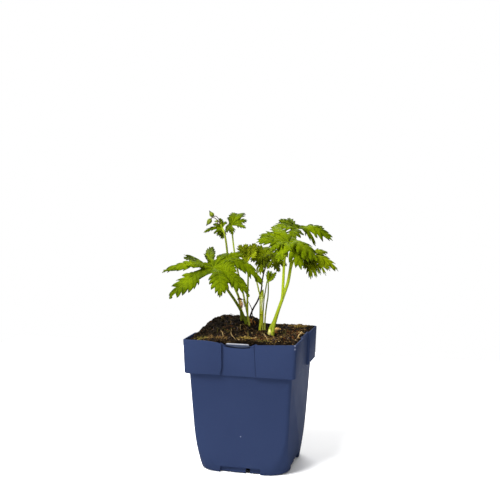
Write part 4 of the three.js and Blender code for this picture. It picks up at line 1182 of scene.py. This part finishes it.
def buildMoss(material):
    dice = random.Random("moss")
    whole = bmesh.new()
    for (cx, cy), (sx, sy), count, size, colour in mossPatches:
        batch = bmesh.new()
        for i in range(count):
            x, y = cx + dice.gauss(0, sx / 2), cy + dice.gauss(0, sy / 2)
            place = onSoil(clamp(x, *mossReach["x"]), clamp(y, *mossReach["y"]), -mossReach["lift"])
            addCrumb(batch, place, size * dice.uniform(*mossReach["sizes"]), colour, dice)
        addTo(whole, batch)
    keepMesh("mossAndChaff", whole, [material], flat=True, slot="soil")


def addRoot(whole, start, end, arch, bend, radius, colour, dice):
    start, end = Vector((*start, 0)), Vector((*end, 0))
    across = Vector((start.y - end.y, end.x - start.x, 0)).normalized()
    line, steps, lift = [], rootShape["steps"], radius * rootShape["lift"]
    for i in range(steps + 1):
        t = i / steps
        wander = noise.noise_vector(start + Vector((t * rootShape["bends"], 0, 0))) * rootShape["wander"]
        p = start.lerp(end, t) + across * bend * math.sin(math.pi * t) + wander
        height = crustHeight(p.x, p.y) + lift + arch * math.sin(math.pi * t) - rootShape["sunk"]
        line.append(Vector((p.x, p.y, height)))
    bit = drawTube(line, [radius * share for share in rootShape["taper"]], rootShape["sides"])
    addTo(whole, paintBit(bit, colour, dice, rootShape["shades"]))


def buildRoots(material):
    dice = random.Random("roots")
    whole = bmesh.new()
    for root in roots:
        addRoot(whole, *root, dice)
    for i in range(looseRoots["count"]):
        x, y = dice.uniform(*looseRoots["x"]), dice.uniform(*looseRoots["y"])
        turn, length = dice.uniform(*looseRoots["turn"]), dice.uniform(*looseRoots["length"])
        endX = clamp(x + math.cos(turn) * length, *looseRoots["endX"])
        endY = clamp(y + math.sin(turn) * length, *looseRoots["endY"])
        colour = dice.choice(looseRoots["colours"])
        arch, bend, radius = (dice.uniform(*looseRoots[key]) for key in ("arch", "bend", "radius"))
        addRoot(whole, (x, y), (endX, endY), arch, bend, radius, colour, dice)
    keepMesh("rootFibres", whole, [material], slot="soil")


addCamera()
addLights()
addRoom()
addFloor()
print("studio ready")
buildPot()
buildLabel()
print("pot and label ready")
finishes = buildPlant()
print("leaves ready")
buildBuds(finishes["pedicel"])
buildShoot()
litter = litterMaterial()
buildStipules(litter)
print("buds, shoot and stipules ready")
buildCrust(soilMaterial())
buildCrumbs(litter)
buildMoss(litter)
buildRoots(litter)
print("soil ready")
